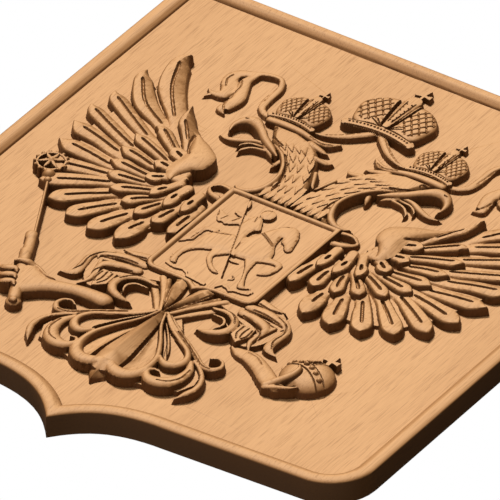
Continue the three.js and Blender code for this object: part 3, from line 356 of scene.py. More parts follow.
def feather(r, form, side, low, high, slot=SLOT, grow=0.7):
    """Feather with a ridge; the first ones are higher and fall away on their trailing side."""
    tip, far, middle, near, root, lead, trail, fall = form
    steep = fall > STEEP_FALL
    lead = [w + grow for w in lead]
    trail = [w + grow * (1.6 if steep else 1) for w in trail]
    if steep:
        high += 1.7
    least = 2.4 if steep else 1.2
    stations = (
        (root, lead[2], trail[2], 0, 0.5),
        (near, lead[2], trail[2], 0.35, 0.6),
        (middle, lead[1], trail[1], 0.75, 0.9),
        (far, lead[0], trail[0], 1, 1),
        (tip, lead[0] * 0.85, trail[0] * 0.85, 1, 1))
    rows = []
    for (u, v), l, t, share, falls in stations:
        h = low + (high - low) * share
        rows.append((u, v, l, t, h, h - 0.4, max(h - 1.3 * falls * fall - 0.2, least)))
    length = math.dist(tip, far) + 2
    r.band(rows, side, form="roof", bevel=1.9, drop=1.9, tip=length, power=1.9 if fall else 3.6)
    r.groove((near, middle, far), *slot, side, taper=0.35)


def wing(r, side):
    """Three rows of feathers on their ground, and the shoulder that they spring from."""
    ground = [(-150, 112), (-147, 106), (-153, 87), (-156, 69), (-158, 51), (-154, 31), (-148, 13),
              (-140, -8), (-130, -21), (-115, -29), (-98, -34), (-79, -34), (-64, -32), (-60, -15),
              (-46, -14), (-44, 12), (-62, 14), (-74, 26), (-76, 40), (-86, 60), (-97, 76), (-112, 93)]
    r.plate(ground, 2.4, side, smooth=False)
    for form in LONG:
        feather(r, form, side, 3.0, 6.3 if form[7] else 6.4, grow=1.2)
    for form in MIDDLE:
        feather(r, form, side, 4.8, 7.4, grow=0.8)
    for form in SHORT:
        feather(r, form, side, 8.2, 8.7, slot=SHORT_SLOT, grow=0.3)
    r.band([(-96, 82, 0.3, 0.3, 2.6, 2, 2), (-91, 73, 5, 4, 5.4, 3, 3.4),
            (-84.5, 63, 10, 6.5, 8.4, 5.4, 6), (-80, 53.5, 15, 8, 10.4, 7, 8),
            (-77.5, 46, 13.4, 9, 11.2, 7.4, 8.2), (-78.5, 39.5, 8.4, 9, 11, 7, 8.3),
            (-79.5, 33, 5.6, 8, 10.4, 6.8, 8.4), (-79, 27, 3, 5, 9.4, 6.4, 8.4),
            (-77, 22, 0.6, 1, 8.8, 6, 8.4)], side, form=("round", "swell"))
    r.groove([(-95, 76), (-92, 66), (-87, 57), (-82, 50.5)], 1.0, 1.6, side)


def head(r, side):
    """Neck with its pointed feathers, beaks, wattles and the scrolls beside them."""
    neck = [(-51.4, 97.4), (-39.4, 91.4), (-32.4, 85.4), (-27.4, 77.4), (-23.9, 67.4), (-22.4, 56.4),
            (-26.4, 47.4), (-31.4, 41.4), (-1.4, 41.4), (1.6, 56.4), (-2.4, 69.4), (-7.4, 82.4),
            (-12.4, 94.4), (-18.4, 103.4), (-28.4, 111.4), (-41.4, 115.4), (-61.4, 115.4)]
    r.plate(neck, 4.4, side, bevel=3.0, drop=2.2, dome=1.8, reach=9, smooth=False)
    for rows in (
            # Barbs at the edges of the neck
            [(-40.4, 82.4, 0.4, 3), (-44.4, 85.9, 2, 2.2, 5), (-51.4, 90.4, 2.4, 2.6, 5.8)],
            [(-36.4, 74.4, 0.6, 3), (-34.9, 78.4, 2.6, 2, 5), (-32.4, 86.4, 3, 2.4, 6.4)],
            [(-13.4, 107.4, 0.4, 2.8), (-19.4, 107.9, 2.4, 3, 4.2), (-29.4, 109.4, 3, 4, 5.8)],
            [(-5.4, 101.4, 0.4, 3), (-9.4, 97.9, 2.4, 4.4), (-17.4, 97.4, 3, 6.2)],
            [(0.6, 69.4, 0.4, 3.4), (-2.4, 72.4, 1.6, 2, 5), (-7.4, 83.4, 2.4, 6.4)],
            # Fold that frames the throat
            [(-45.4, 47.4, 0.3, 3.4), (-39.4, 44, 2.4, 4.8), (-32.4, 44.4, 3.4, 2.8, 6),
             (-26.4, 50.4, 3.2, 2.8, 6.8), (-23.6, 62.4, 2.4, 2.6, 8), (-27.4, 75.4, 2.2, 2.8, 8.2),
             (-35.4, 86.4, 2, 2.8, 8), (-45.4, 93.4, 1.6, 2.4, 7.6)],
            # Curl above the breast shield
            [(-42.4, 39.4, 2, 3, 5.4), (-50.4, 40.4, 1.6, 3, 4.8), (-55.4, 36.4, 1, 2.4, 3.6),
             (-51.4, 30.4, 2, 3, 5), (-44.4, 28.4, 2, 4, 5.6)],
            # Lower beak
            [(-85.4, 88.9, 0.3, 2.4), (-81.4, 86.9, 1.4, 1.6, 3.4), (-75.4, 86.4, 2.6, 4.4),
             (-68.4, 88.9, 3, 5), (-60.4, 92.4, 2.4, 5.4), (-51.4, 92.4, 2, 5.6)],
            # Wattles
            [(-67.4, 81.4, 0.3, 2.6), (-65.9, 85.9, 1.4, 3.8), (-60.4, 89.4, 1.5, 4.6),
             (-50.4, 89.9, 1.8, 5.2)],
            [(-63.4, 76.4, 0.3, 2.6), (-62.9, 81.4, 1.5, 3.8), (-57.4, 85.9, 1.6, 4.6),
             (-47.4, 87.4, 1.8, 5.2)],
            # Upper beak with the cheek behind it
            [(-78.4, 89.9, 0.3, 4), (-80.8, 95.4, 1.8, 1.6, 5.4), (-80, 102, 3.4, 3, 6.6),
             (-75.8, 106.8, 5, 4.6, 7.8), (-69.4, 107.8, 5, 5.6, 8.6), (-62.4, 102.8, 4.4, 8.4),
             (-54.8, 96, 3.8, 8), (-46.4, 90.4, 3.2, 7.4), (-38.8, 85.4, 1.4, 6)]):
        r.band(rows, side, edge=0.5)
    # Pointed feathers of the neck, each lying on the next: base and tip
    for (u, v), (s, t) in (
            ((-48.4, 104.4), (-38.4, 93.9)), ((-43.4, 106.4), (-33.4, 94.9)),
            ((-38.4, 107.4), (-28.4, 95.9)), ((-33.4, 107.4), (-24.4, 96.4)),
            ((-42.4, 97.4), (-31.9, 85.4)), ((-35.4, 99.4), (-26.4, 85.9)),
            ((-29.4, 100.4), (-21.9, 87.9)), ((-24.4, 102.4), (-16.4, 90.4)),
            ((-33.9, 90.4), (-25.9, 75.4)), ((-28.4, 91.4), (-21.9, 76.4)),
            ((-22.9, 93.4), (-17.4, 78.4)), ((-18.4, 95.4), (-11.4, 82.4)),
            ((-27.4, 81.4), (-21.4, 65.4)), ((-22.4, 82.4), (-17.8, 65.4)),
            ((-17.9, 83.4), (-13.4, 67.4)), ((-13.4, 84.4), (-7.9, 71.4)),
            ((-22.4, 70.4), (-19.8, 53.4)), ((-18.4, 71.4), (-15.6, 54.4)),
            ((-14.4, 72.4), (-10.9, 55.4)), ((-9.9, 74.4), (-5.4, 58.4)),
            ((-21.4, 58.4), (-22.4, 42.4)), ((-16.9, 59.4), (-16.4, 42.4)),
            ((-12.4, 60.4), (-10.9, 42.4)), ((-7.9, 62.4), (-5.9, 42.4)),
            ((-3.4, 64.4), (-1.4, 44.4))):
        mid_u, mid_v = u + 0.55 * (s - u), v + 0.55 * (t - v)
        end_u, end_v = s + 0.2 * (s - u), t + 0.2 * (t - v)
        r.band([(u, v, 2.2, 2.2, 5.8), (mid_u, mid_v, 2.5, 2.5, 6.7), (end_u, end_v, 0.2, 0.2, 7.3)],
               side, edge=0.94, form="roof", wall=0.25)
    # Folds of the cheek, edge of the throat, fleck on the brow and the eye
    r.groove([(-67.4, 112.4), (-61.4, 105.9), (-53.4, 99.4), (-44.4, 93.9), (-37.4, 89.4)], 0.8, 1.3,
             side)
    r.groove([(-63.4, 113.4), (-57.4, 106.9), (-49.4, 100.4), (-40.4, 95.4)], 0.7, 1.3, side)
    r.groove([(-34.4, 88.4), (-28, 80.4), (-23.4, 71.4), (-20.4, 62.4), (-20, 52.4)], 0.9, 1.8, side)
    r.groove([(-58.9, 111.8), (-55.9, 111.4), (-55, 109), (-58, 108.6), (-58.9, 111.8)], 0.45, 0.9,
             side)
    r.groove([(-77.4, 106.8), (-74.8, 107.2)], 0.9, 1.4, side)


def crown(r, u, v, half_width, height, rise, pearls, side=1):
    """Crown on its foot at u, v: two latticed caps, a ribbed middle, a pearled band, ball, cross."""
    u = u * side
    across, up = half_width / 26, height / 38
    at = lambda x, y: (u + x * across, v + y * up)
    fine = min(across, 1.0)
    for s in (1, -1):
        cap = [(3, 36), (10, 38.4), (19, 34.6), (26.4, 25), (26, 15), (20.5, 3), (2, 3)]
        r.plate([at(x * s, y) for x, y in cap], rise - 3.2, bevel=1.6 * fine, drop=1.2 * fine, dome=3.4,
                reach=10 * across)
        for lean in (1, -1):
            for k in range(-4, 5):
                slope = math.radians(56 * lean)
                d = (math.cos(slope), math.sin(slope))
                foot = (15.4 - d[1] * 4.4 * k, 20.6 + d[0] * 4.4 * k)
                a = (d[0] / 9.0) ** 2 + (d[1] / 14.2) ** 2
                b = (foot[0] - 15.4) * d[0] / 9.0 ** 2 + (foot[1] - 20.6) * d[1] / 14.2 ** 2
                c = ((foot[0] - 15.4) / 9.0) ** 2 + ((foot[1] - 20.6) / 14.2) ** 2 - 1
                root = b * b - a * c
                if root > 0.0012:
                    t0, t1 = (-b - math.sqrt(root)) / a, (-b + math.sqrt(root)) / a
                    ends = [at(s * (foot[0] + d[0] * t), foot[1] + d[1] * t) for t in (t0, t1)]
                    r.groove(ends, 0.66 * fine, 0.9 * fine, taper=0.7, steps=2)
    r.band([(*at(0, 5), 2.6 * across, 2.6 * across, rise + 0.2),
            (*at(0, 22), 4.2 * across, 4.2 * across, rise + 0.4),
            (*at(0, 39), 5.8 * across, 5.8 * across, rise)], edge=0.8)
    for s in (-1, 1):
        r.groove([at(s * 7.4, 39), at(s * 5.4, 22), at(s * 3.2, 9)], 1.2 * fine, 3.4 * fine, taper=0.6)
        r.groove([at(s * 2.9, 37), at(s * 2.2, 24), at(s * 1.2, 12)], 0.5 * fine, 1.0 * fine)
        for k in range(6):
            y = 14 + 4 * k
            r.boss(*at(s * (0.5 + 0.035 * y), y), 0.9 * fine, rise + 1.1, shoulder=0.86)
        for reach_out in (5, 8, 11):
            r.groove([at(s * 1.4, 5), at(s * reach_out, 16 - 0.55 * reach_out)], 0.55 * fine,
                     1.4 * fine)
    sill = [(-22, -2.6), (-11, 0.2), (0, 1.2), (11, 0.2), (22, -2.6)]
    r.band([(*at(x, y + 1.4), 4.4 * up, 4.0 * up, rise - 0.2) for x, y in sill], edge=0.8)
    for offset in (-1.4, 4.2):
        r.groove([at(x, y + 0.2 + offset) for x, y in sill], 0.5 * fine, 1.1 * fine, taper=1)
    size = 0.38 * 41 * across / (2 * pearls)
    for i in range(-pearls, pearls + 1):
        x = i * 20.5 / pearls
        foot = 2.9 - 3.6 * (x / 22) ** 2
        r.boss(*at(x, foot), size, rise + 0.9, shoulder=0.8, wall=0.3)
    for i in range(-2 * pearls, 2 * pearls):
        x = (i + 0.5) * 10.25 / pearls
        foot = -0.2 - 3.6 * (x / 22) ** 2
        r.groove([at(x, foot - 1.8), at(x, foot + 0.2)], 0.3 * fine, 0.9 * fine, steps=2)
    r.boss(*at(0, 40.8), 4.6 * up, rise - 0.6, shoulder=0.3)
    limb = [(1.3, 44), (1.2, 48.4), (5.6, 47.4), (5.6, 52.6), (1.5, 51), (2.5, 57)]
    cross = limb + [(-x, y) for x, y in reversed(limb)]
    r.plate([at(x, y) for x, y in cross], rise - 2.4, smooth=False, wall=0.4)


def ribbons(r, side):
    """Ribbon that loops from the crown, its two tails, and the bands at the brow."""
    loop = [(-62.8, 122, 2.6, 3.6), (-71.8, 122.5, 3, 2.6, 3.4), (-78.8, 128, 3.4, 3, 3.3),
            (-80.8, 139, 3.8, 3.4, 3.3), (-81.3, 151, 3, 3.4, 3.6), (-85.8, 159.5, 2.2, 2.8, 4.1),
            (-95.8, 159, 2.2, 3.2, 4.1), (-107.8, 154, 3.4, 3, 3.6)]
    outer = [(-101.8, 155.5, 3.2, 3.8, 3.8), (-111.8, 151, 4.2, 5, 3.3), (-113.8, 143, 6.2, 5.8, 3.1),
             (-108.8, 134, 7.5, 5.8, 3.4), (-108.3, 127, 6.2, 4.2, 3.8), (-113.8, 123.6, 2.8, 3.4),
             (-119.2, 126.4, 1.2, 2.6)]
    inner = [(-100.8, 155.5, 2.4, 2.9, 3.9), (-103.8, 146, 4.8, 3.8, 3.9), (-100.4, 136, 5.5, 4.8, 4.1),
             (-97.2, 127, 5.8, 4.8, 4.3), (-98.8, 118, 5.8, 4.3, 3.9), (-100.4, 111.5, 4.8, 2.9, 3.3),
             (-94.8, 108, 0.4, 2.5)]
    hook = [(-111.8, 124, 2, 3.3), (-115.4, 121.6, 1.8, 2.8), (-117.8, 117, 0.3, 2.1)]
    brow = [(-65.8, 118, 3.6, 5.5), (-53.8, 118.4, 3.6, 5.8), (-41.8, 117.6, 3, 3.4, 5.7),
            (-29.8, 115, 2.4, 3, 5.2), (-20.8, 115.6, 3, 3.4, 4.6), (-13.8, 120.6, 1.6, 3.8)]
    centre = [(-39.8, 123, 0.6, 3.0), (-29.8, 123.4, 2, 1.8, 3.8), (-17.8, 129, 3.6, 3, 4.3),
              (-6.8, 138.5, 3.8, 3.4, 4.6), (-0.8, 145, 3, 4.6)]
    for rows in (loop, outer, inner, hook, brow, centre):
        r.band(rows, side, edge=0.45)
    r.groove([(-81.3, 134), (-82.8, 144), (-83.4, 152), (-87.8, 158.5)], 0.6, 0.6, side)
    r.groove([(-114.4, 148), (-115.3, 142), (-111.3, 134)], 0.7, 1.0, side)
    r.groove([(-105.8, 145), (-102.2, 137), (-102.8, 127), (-104.8, 117)], 0.6, 0.8, side)
    r.groove([(-101.4, 122), (-100.3, 116), (-97.8, 112)], 0.8, 1.0, side)
    r.groove([(-33.8, 115.6), (-23.8, 113.8), (-16.8, 117)], 0.5, 0.7, side)
    r.groove([(-27.8, 124.4), (-16.8, 131.6), (-7.8, 140.5)], 0.6, 0.7, side)


def breast_shield(r):
    """Shield with a half-round rim; its field lies at SHIELD_FIELD."""
    side, low, bead = 42.4, -61.0, 4.6
    turn = np.linspace(0, -math.pi / 2, 9)
    half = [(side, 41.4)] + [(side - 9 + 9 * math.cos(a), low + 9 + 9 * math.sin(a)) for a in turn]
    half += [(14, low), (7, low - 0.8), (3, low - 3.4), (0, -67.5)]
    outline = np.array(half + [(-x, y) for x, y in half[-2::-1]])
    win = r.window(outline, 1)
    inside = r.inside(win, outline)
    across = np.clip(2 * inside / bead - 1, -1, 1)
    swell = np.sqrt(1 - across ** 2)
    level = SHIELD_FIELD + 1.9 * swell
    level = np.where(inside < bead / 2, SHIELD_FIELD - 1.2 + 3.1 * swell, level)
    r.z[win] = np.where(inside > WALL, level, np.where(inside > 0, np.maximum(
        level * inside / WALL, r.z[win] * (1 - inside / WALL)), r.z[win]))


def rider(r):
    """Rider on a horse with a spear, over broken ground; heights are above the shield's field."""
    legs = (
        [(-12, -21.5), (-20, -26.5), (-25.5, -32), (-27, -40), (-24.6, -47.5), (-29.5, -47.5),
         (-31.5, -40), (-31, -30), (-28.5, -20), (-26, -10), (-18, -12)],
        [(-2, -20), (-5.5, -24.5), (-8.6, -28.8), (-4, -36), (3.5, -41.5), (0, -43), (-6, -39.5),
         (-13, -30.5), (-13, -20)],
        [(9, -19), (14, -28), (18.5, -38), (21, -46.5), (25.2, -48.2), (31.5, -43.5), (26.8, -45),
         (23, -40), (18.8, -30), (16.4, -17)],
        [(18, -11), (28, -10), (32.6, -12), (33.8, -17.5), (31.8, -25), (28, -28.6), (24, -29.6),
         (27, -25.5), (29.4, -19), (28, -15.3), (20, -17.3), (15, -20)])
    body = [(-24, -6), (-14, -2), (-4, 0), (3, 12), (9, 22.5), (15, 26), (20, 24.8), (23.5, 20.5),
            (25.6, 16), (27.5, 9), (28.6, 3.5), (26.4, 0.9), (23.4, 2.2), (21, 5.5), (17.5, 8),
            (15.8, 12), (16.6, 5), (18.5, 0), (21.5, -5), (22.6, -11), (20, -14), (16, -19), (9, -20.5),
            (0, -21.5), (-10, -21.5), (-18, -24), (-26, -18)]
    tail_hair = [(-23, -6.5), (-28.4, -7.4), (-29.4, -13), (-29.8, -20), (-33, -23.5), (-37, -27.4),
                 (-36.4, -20), (-35, -11), (-32.6, -5), (-28, -2.4), (-22, -2)]
    cloak = [(-13, 18), (-20, 15.5), (-27, 14), (-35, 17), (-32.4, 9), (-29, 4.6), (-26, 5.4),
             (-23.4, 4.2), (-19.5, 6.2), (-16, 8.6), (-12, 7.4)]
    # Outlines from the back to the front
    for outline in legs:
        r.plate(outline, SHIELD_FIELD + 1.3, bevel=1.4, drop=0.5, dome=0.4, reach=3, wall=0.3)
    r.plate(tail_hair, SHIELD_FIELD + 1.3, bevel=1.2, drop=0.5, wall=0.3)
    r.plate(body, SHIELD_FIELD + 1.6, bevel=2.2, drop=0.7, dome=0.6, reach=8, wall=0.3)
    r.plate(cloak, SHIELD_FIELD + 1.6, bevel=1.6, drop=0.5, wall=0.3)
    torso = [(-10.5, 22), (-5, 21), (-1.5, 15), (0.4, 10), (-2.8, 6.5), (-3.2, 0), (0, -12),
             (2.6, -21.5), (-2, -20.5), (-5.4, -12), (-9.5, -2), (-14, 8), (-13, 16)]
    r.plate(torso, SHIELD_FIELD + 2.5, bevel=1.8, drop=0.7, wall=0.3)
    # Arm, spear, its blade, and small things on the ground
    for rows in (
            [(-11, 19, 2, 2, 2), (-18, 17.6, 1.8, 1.8, 1.8), (-24, 19.4, 1.6, 1.6, 1.6)],
            [(-25.5, 37.5, 0.4, 0.4, 2.2), (-8, -4.5, 0.55, 0.55, 2.9), (8, -44, 0.5, 0.5, 1.6)],
            [(-23.2, 34.5, 0.5, 0.5, 2), (-21.4, 30, 1.5, 1.5, 2.6), (-19.8, 26, 0.5, 0.5, 2)],
            [(0, -25, 0.6, 0.6, 1.2), (4, -26.4, 1, 1, 1.4), (8, -26, 0.5, 0.5, 1)],
            [(-32, -40, 0.4, 0.4, 0.8), (-31, -43, 0.8, 0.8, 1), (-29.5, -46, 0.4, 0.4, 0.8)],
            [(12.5, -38.5, 0.5, 0.5, 0.8), (15, -41.4, 0.8, 0.8, 1), (12.5, -43.5, 0.5, 0.5, 0.8)]):
        r.band([(u, v, a, b, SHIELD_FIELD + h, SHIELD_FIELD + 0.5 * h, SHIELD_FIELD + 0.5 * h)
                for u, v, a, b, h in rows], wall=0.25)
    # Broken ground
    for line in ([(-31, -51), (-27, -52), (-23, -53), (-17, -51.6), (-13, -54), (-11.5, -56.4),
                  (-5, -57), (4, -58.4)],
                 [(10, -57.4), (13, -52), (17, -53), (20, -55), (23, -53), (29, -52.4), (33, -51),
                  (34, -47)]):
        lump = line + [(u, v + 3.4) for u, v in reversed(line)]
        r.plate(lump, SHIELD_FIELD + 1.2, smooth=False, wall=0.3)
    r.boss(-4.8, 26.6, (5.4, 5.8), SHIELD_FIELD + 3.0, shoulder=0.86, wall=0.3)
    for line in ([(-35, 15.5), (-31.5, 10)], [(-18, 15), (-21, 9)], [(-26, 13), (-28, 7)],
                 [(-9, 21), (-7.4, 15)], [(-9.8, 26), (-7.6, 29.6), (-4, 31)],
                 [(1, 11), (8, 6.6), (17, 1.2)], [(0.4, 9.4), (7.6, 5.2), (16.4, 0)],
                 [(5, 16), (9.6, 21), (14, 23.4)], [(-12, -4), (-20, -7), (-25, -8)],
                 [(24, 18), (26.4, 18.4)], [(-31, -12), (-32, -20)], [(-2.4, -8), (-1, -16)]):
        r.groove(line, 0.45, 0.6, floor=SHIELD_FIELD)


def plumes(r, side):
    """Feathers of the leg, down to the cuff."""
    ground = [(-42, -48), (-58, -50), (-70, -60), (-73, -70), (-68, -88), (-58, -96), (-48, -90),
              (-44, -80), (-30, -70), (-20, -64)]
    r.plate(ground, 3.6, side)
    for rows in (
            [(-41, -50, 4.4, 4, 5.4), (-52, -53, 3.4, 4, 5.6), (-63, -51, 0.4, 3.8)],
            [(-40, -59, 4, 5.6), (-55, -60, 4, 4.6, 6.4), (-69, -64, 2.4, 3, 5.4),
             (-69.5, -70, 0.4, 4)],
            [(-60, -57, 2, 4.8), (-69, -60.5, 2.6, 2.4, 5.2), (-74, -69, 3, 3.4, 5.2),
             (-73.6, -80, 4, 3.6, 5.2), (-74.5, -88, 4.6, 3, 4.6), (-83.5, -93, 0.4, 3)],
            [(-66, -70, 2, 5.6), (-63, -80, 2.4, 5.8), (-61, -90, 2.4, 2.6, 5.2),
             (-66, -99.5, 0.6, 3.6)],
            [(-40, -67, 4, 6.2), (-52, -69, 4, 4.4, 6.8), (-62, -75, 3, 4, 6.6), (-59, -86, 0.6, 5.4)],
            [(-22, -73, 1.5, 2.4, 5), (-33, -73, 2.6, 3, 6.4), (-41, -78, 3, 3.6, 7),
             (-44, -86, 3.4, 4, 7.4), (-41, -93.5, 3.4, 4, 7.4), (-33, -97, 2.8, 3.4, 6.6),
             (-24, -97, 0.4, 4)],
            [(-25, -78, 1.2, 4.6), (-33, -79, 1.6, 5.4), (-37, -84, 1.7, 5.8), (-35.5, -90, 1.2, 5.4),
             (-32.5, -92.5, 0.3, 4.6)]):
        r.band(rows, side, edge=0.6)
    cuff = [(-59, -78), (-46.5, -78), (-46.5, -92), (-55, -99), (-60, -88)]
    r.plate(cuff, 6.6, side, smooth=False, bevel=1.2, drop=1.2)
    for line in ([(-44, -61), (-54, -62), (-66, -64.5)], [(-43, -65), (-55, -66), (-67, -68)],
                 [(-42, -70), (-52, -73), (-62, -80), (-63, -90)], [(-41, -74), (-48, -77), (-52, -80)],
                 [(-62, -59), (-70, -63), (-74, -71), (-73, -81), (-76, -88)],
                 [(-43, -53), (-52, -55), (-60, -53)], [(-40, -63), (-50, -64), (-60, -66)],
                 [(-57, -81), (-57.5, -88), (-55.5, -93)], [(-54, -80), (-53.5, -87), (-54.5, -92)],
                 [(-50, -80), (-50, -88), (-53, -94)], [(-28, -70), (-38, -74), (-44, -82)]):
        r.groove(line, 0.6, 1.1, side)


def cup_blade(r):
    """Broad ridged blade that stands in the middle of the tail's cup, and the tip below it."""
    r.band([(0, -92, 2, 7.6), (0, -106, 4.6, 8.8), (0, -120, 6.6, 9.4), (0, -134, 8.4, 9.8),
            (0, -148, 10, 10), (0, -160, 10, 9.6)],
           edge=0.62, form="roof")
    r.band([(0, -156, 7, 7.4), (0, -166, 8, 7), (0, -178, 0.4, 3.4)], edge=0.3, form="roof")


def tail(r, side):
    """Acanthus tail: stems, scrolls and leaves that spring from the knot, and half of the cup."""
    web = [(0, -60), (-16, -62), (-9, -88), (-20, -103), (-44, -120), (-55, -131), (-58, -146),
           (-53, -158), (-34, -163), (-24, -166), (0, -164)]
    r.plate(web, 3.0, side, smooth=False)
    bowl = [(-6, -100), (-20, -111), (-33, -119), (-40, -129), (-39, -138), (-31, -141), (-25, -134),
            (-17, -118)]
    r.plate(bowl, 5.0, side, smooth=False, dome=-1.2, reach=6)
    for rows in (
            # Stems from the shield to the knot, one step above another
            [(-33, -64, 3, 2.8), (-22, -74, 2.8, 3, 3.2), (-13, -85, 2.6, 3, 3.8), (-6, -96, 2, 4.6)],
            [(-24, -62, 3, 4.6), (-16, -73, 2.8, 5.2), (-9.4, -84, 2.4, 6), (-3, -96, 2, 7)],
            # Spur
            [(-5, -96, 2.2, 6), (-15, -102, 2, 4.4), (-25, -108, 0.4, 2.6)],
            # Upper scroll
            [(-3, -96, 1.8, 7.8), (-14, -105, 2.2, 2.4, 7.2), (-29, -113.5, 2.4, 2.8, 6.6),
             (-42, -122, 2.8, 6.4), (-50, -128, 3, 2.8, 6.4), (-57.5, -129.8, 3, 6.6),
             (-62.2, -125, 2.4, 2.6, 6.4), (-60.8, -119.4, 1.8, 2, 6.2), (-56, -117, 1.5, 1.6, 6),
             (-51.5, -119.5, 1.3, 5.8)],
            # Middle leaf and the tongue in its bowl
            [(-5, -99, 1.8, 7.6), (-14, -107.5, 2.2, 2.4, 7.4), (-26, -116, 2.2, 3, 7.6),
             (-36, -123, 2.4, 3.2, 8), (-40.6, -131, 2.8, 3.6, 8.2), (-39, -138, 3.4, 4.4, 8.4),
             (-33.6, -141.6, 3.6, 4.4, 8.6), (-28, -139.6, 2.8, 8.4), (-24, -134.5, 0.4, 7.6)],
            [(-8, -105, 1.2, 6.6), (-17, -116, 1.4, 1.6, 6.8), (-25, -128, 1.2, 1.8, 6.8),
             (-30, -137, 0.4, 6)],
            # Lower scroll
            [(-44, -130, 2.4, 6.6), (-48.6, -139, 4.4, 3.6, 7.2), (-48.4, -149, 5.6, 4.8, 7.8),
             (-44, -157.4, 7, 5.6, 8.2), (-37, -160.6, 6.4, 5.4, 8.4), (-30.6, -159, 4.4, 8.2),
             (-27.4, -154, 2.6, 7.8), (-29.5, -149.8, 1.8, 7.4), (-33.5, -150.2, 1.2, 7)],
            # Outer leaf
            [(-45, -128, 1.6, 2, 6.6), (-54, -134, 2.2, 6.4), (-60, -142, 2.6, 6.4),
             (-62, -151, 3, 2.8, 6.2), (-59.4, -159, 3, 2.8, 5.8), (-55, -167, 0.4, 3.4)],
            # Rim of the central cup
            [(-2, -97, 1.6, 1.6, 8, 3, 4.4), (-7.4, -110, 1.8, 2, 7.8, 2.8, 4.3),
             (-16.4, -124, 2.2, 2.4, 7.8, 2.6, 4.3), (-23.6, -138, 2.8, 3, 8, 2.6, 4.4),
             (-25.4, -150, 3.8, 3.4, 8.2, 2.6, 4.5), (-22.6, -159.6, 5, 5.4, 8.4, 3, 4.6),
             (-16, -164.6, 6, 6, 8.6, 4, 4.7), (-8.4, -163.8, 5.6, 5.6, 8.6, 4.4, 4.7),
             (-1, -158, 4, 4.6, 8.4, 4.4, 4.6)]):
        r.band(rows, side, edge=0.55)
    # Hollow of the cup, rising to its lip
    r.band([(-8, -112, 3, 3, 3.4, 4.4, 3), (-12.6, -128, 4, 4, 3.6, 5.4, 3),
            (-17, -145, 5.6, 5.6, 4, 6, 3), (-17.6, -162, 6, 6, 6, 7, 5)], side, form="soft")
    # Leaves that meet in the knot
    for rows in ([(-10, -61, 5.6, 5, 7.4), (-7.6, -73, 5.6, 4.6, 8.6), (-3.6, -85, 3.6, 3.2, 9.2),
                  (-0.4, -97, 0.5, 8.8)],
                 [(-19, -63, 2.4, 5.2), (-13, -74, 2.4, 6.2), (-6.6, -86, 1.8, 7.2),
                  (-1.6, -97, 0.5, 7.6)]):
        r.band(rows, side, edge=0.7, form="roof")
    for line in ([(-19, -108), (-30, -114.5), (-43, -123.5), (-51, -129), (-58, -130)],
                 [(-49, -138), (-49.5, -149), (-45, -157), (-38, -160)],
                 [(-56, -138), (-59, -147), (-57.5, -157)],
                 [(-14, -62), (-10.6, -74), (-5, -87)]):
        r.groove(line, 0.6, 0.9, side)


def sceptre(r):
    """Staff, handle with its collars and pommel, and the wreathed head."""
    r.band([(-141, -22, 1.8, 7.6), (-128, -48, 1.8, 6.4), (-116, -72, 1.8, 6)], edge=0.3)
    r.band([(-117.5, -72, 4.2, 6.4), (-109, -90, 4.6, 6.6)], edge=0.45)
    r.band([(-117.8, -72.4, 4.8, 7), (-116.8, -74.4, 4.8, 7)], edge=0.5)
    r.band([(-110, -89, 5, 7.2), (-109, -91.4, 5, 7.2)], edge=0.5)
    r.band([(-108.6, -92, 4.8, 7.6), (-88, -134, 5, 7.8)], edge=0.45)
    r.boss(-86.4, -137.4, 5.6, 6.4, shoulder=0.5)
    r.boss(-86.0, -138.2, 3.2, 8.2, shoulder=0.7)
    r.boss(-146, -13.2, 5.0, 9.2, shoulder=0.3)
    r.boss(-142.8, -19, 3.0, 8.2, shoulder=0.6)
    centre, radius, leaves = (-152.3, -1.3), 9.2, 14
    turns = np.linspace(0, math.tau, leaves + 1)
    ring = [(centre[0] + radius * math.cos(a), centre[1] + radius * math.sin(a)) for a in turns]
    r.boss(*centre, radius, 2.6, shoulder=1.0)
    r.band([(u, v, 1.5, 1.5, 7.2) for u, v in ring], edge=0.7)
    for u, v in ring[:-1]:
        r.boss(centre[0] + 1.14 * (u - centre[0]), centre[1] + 1.14 * (v - centre[1]), 1.8, 7.8,
               shoulder=0.6)
    for a in (35, 90, 145, 215, 270, 325):
        s, c = math.sin(math.radians(a)), math.cos(math.radians(a))
        r.band([(*centre, 1.6, 1.6, 8.6), (centre[0] + 5 * c, centre[1] + 5 * s, 1.9, 1.9, 8.2),
                (centre[0] + 9 * c, centre[1] + 9 * s, 0.9, 0.9, 7.6)], edge=0.75)
    r.boss(*centre, 2.6, 9.4, shoulder=0.6)


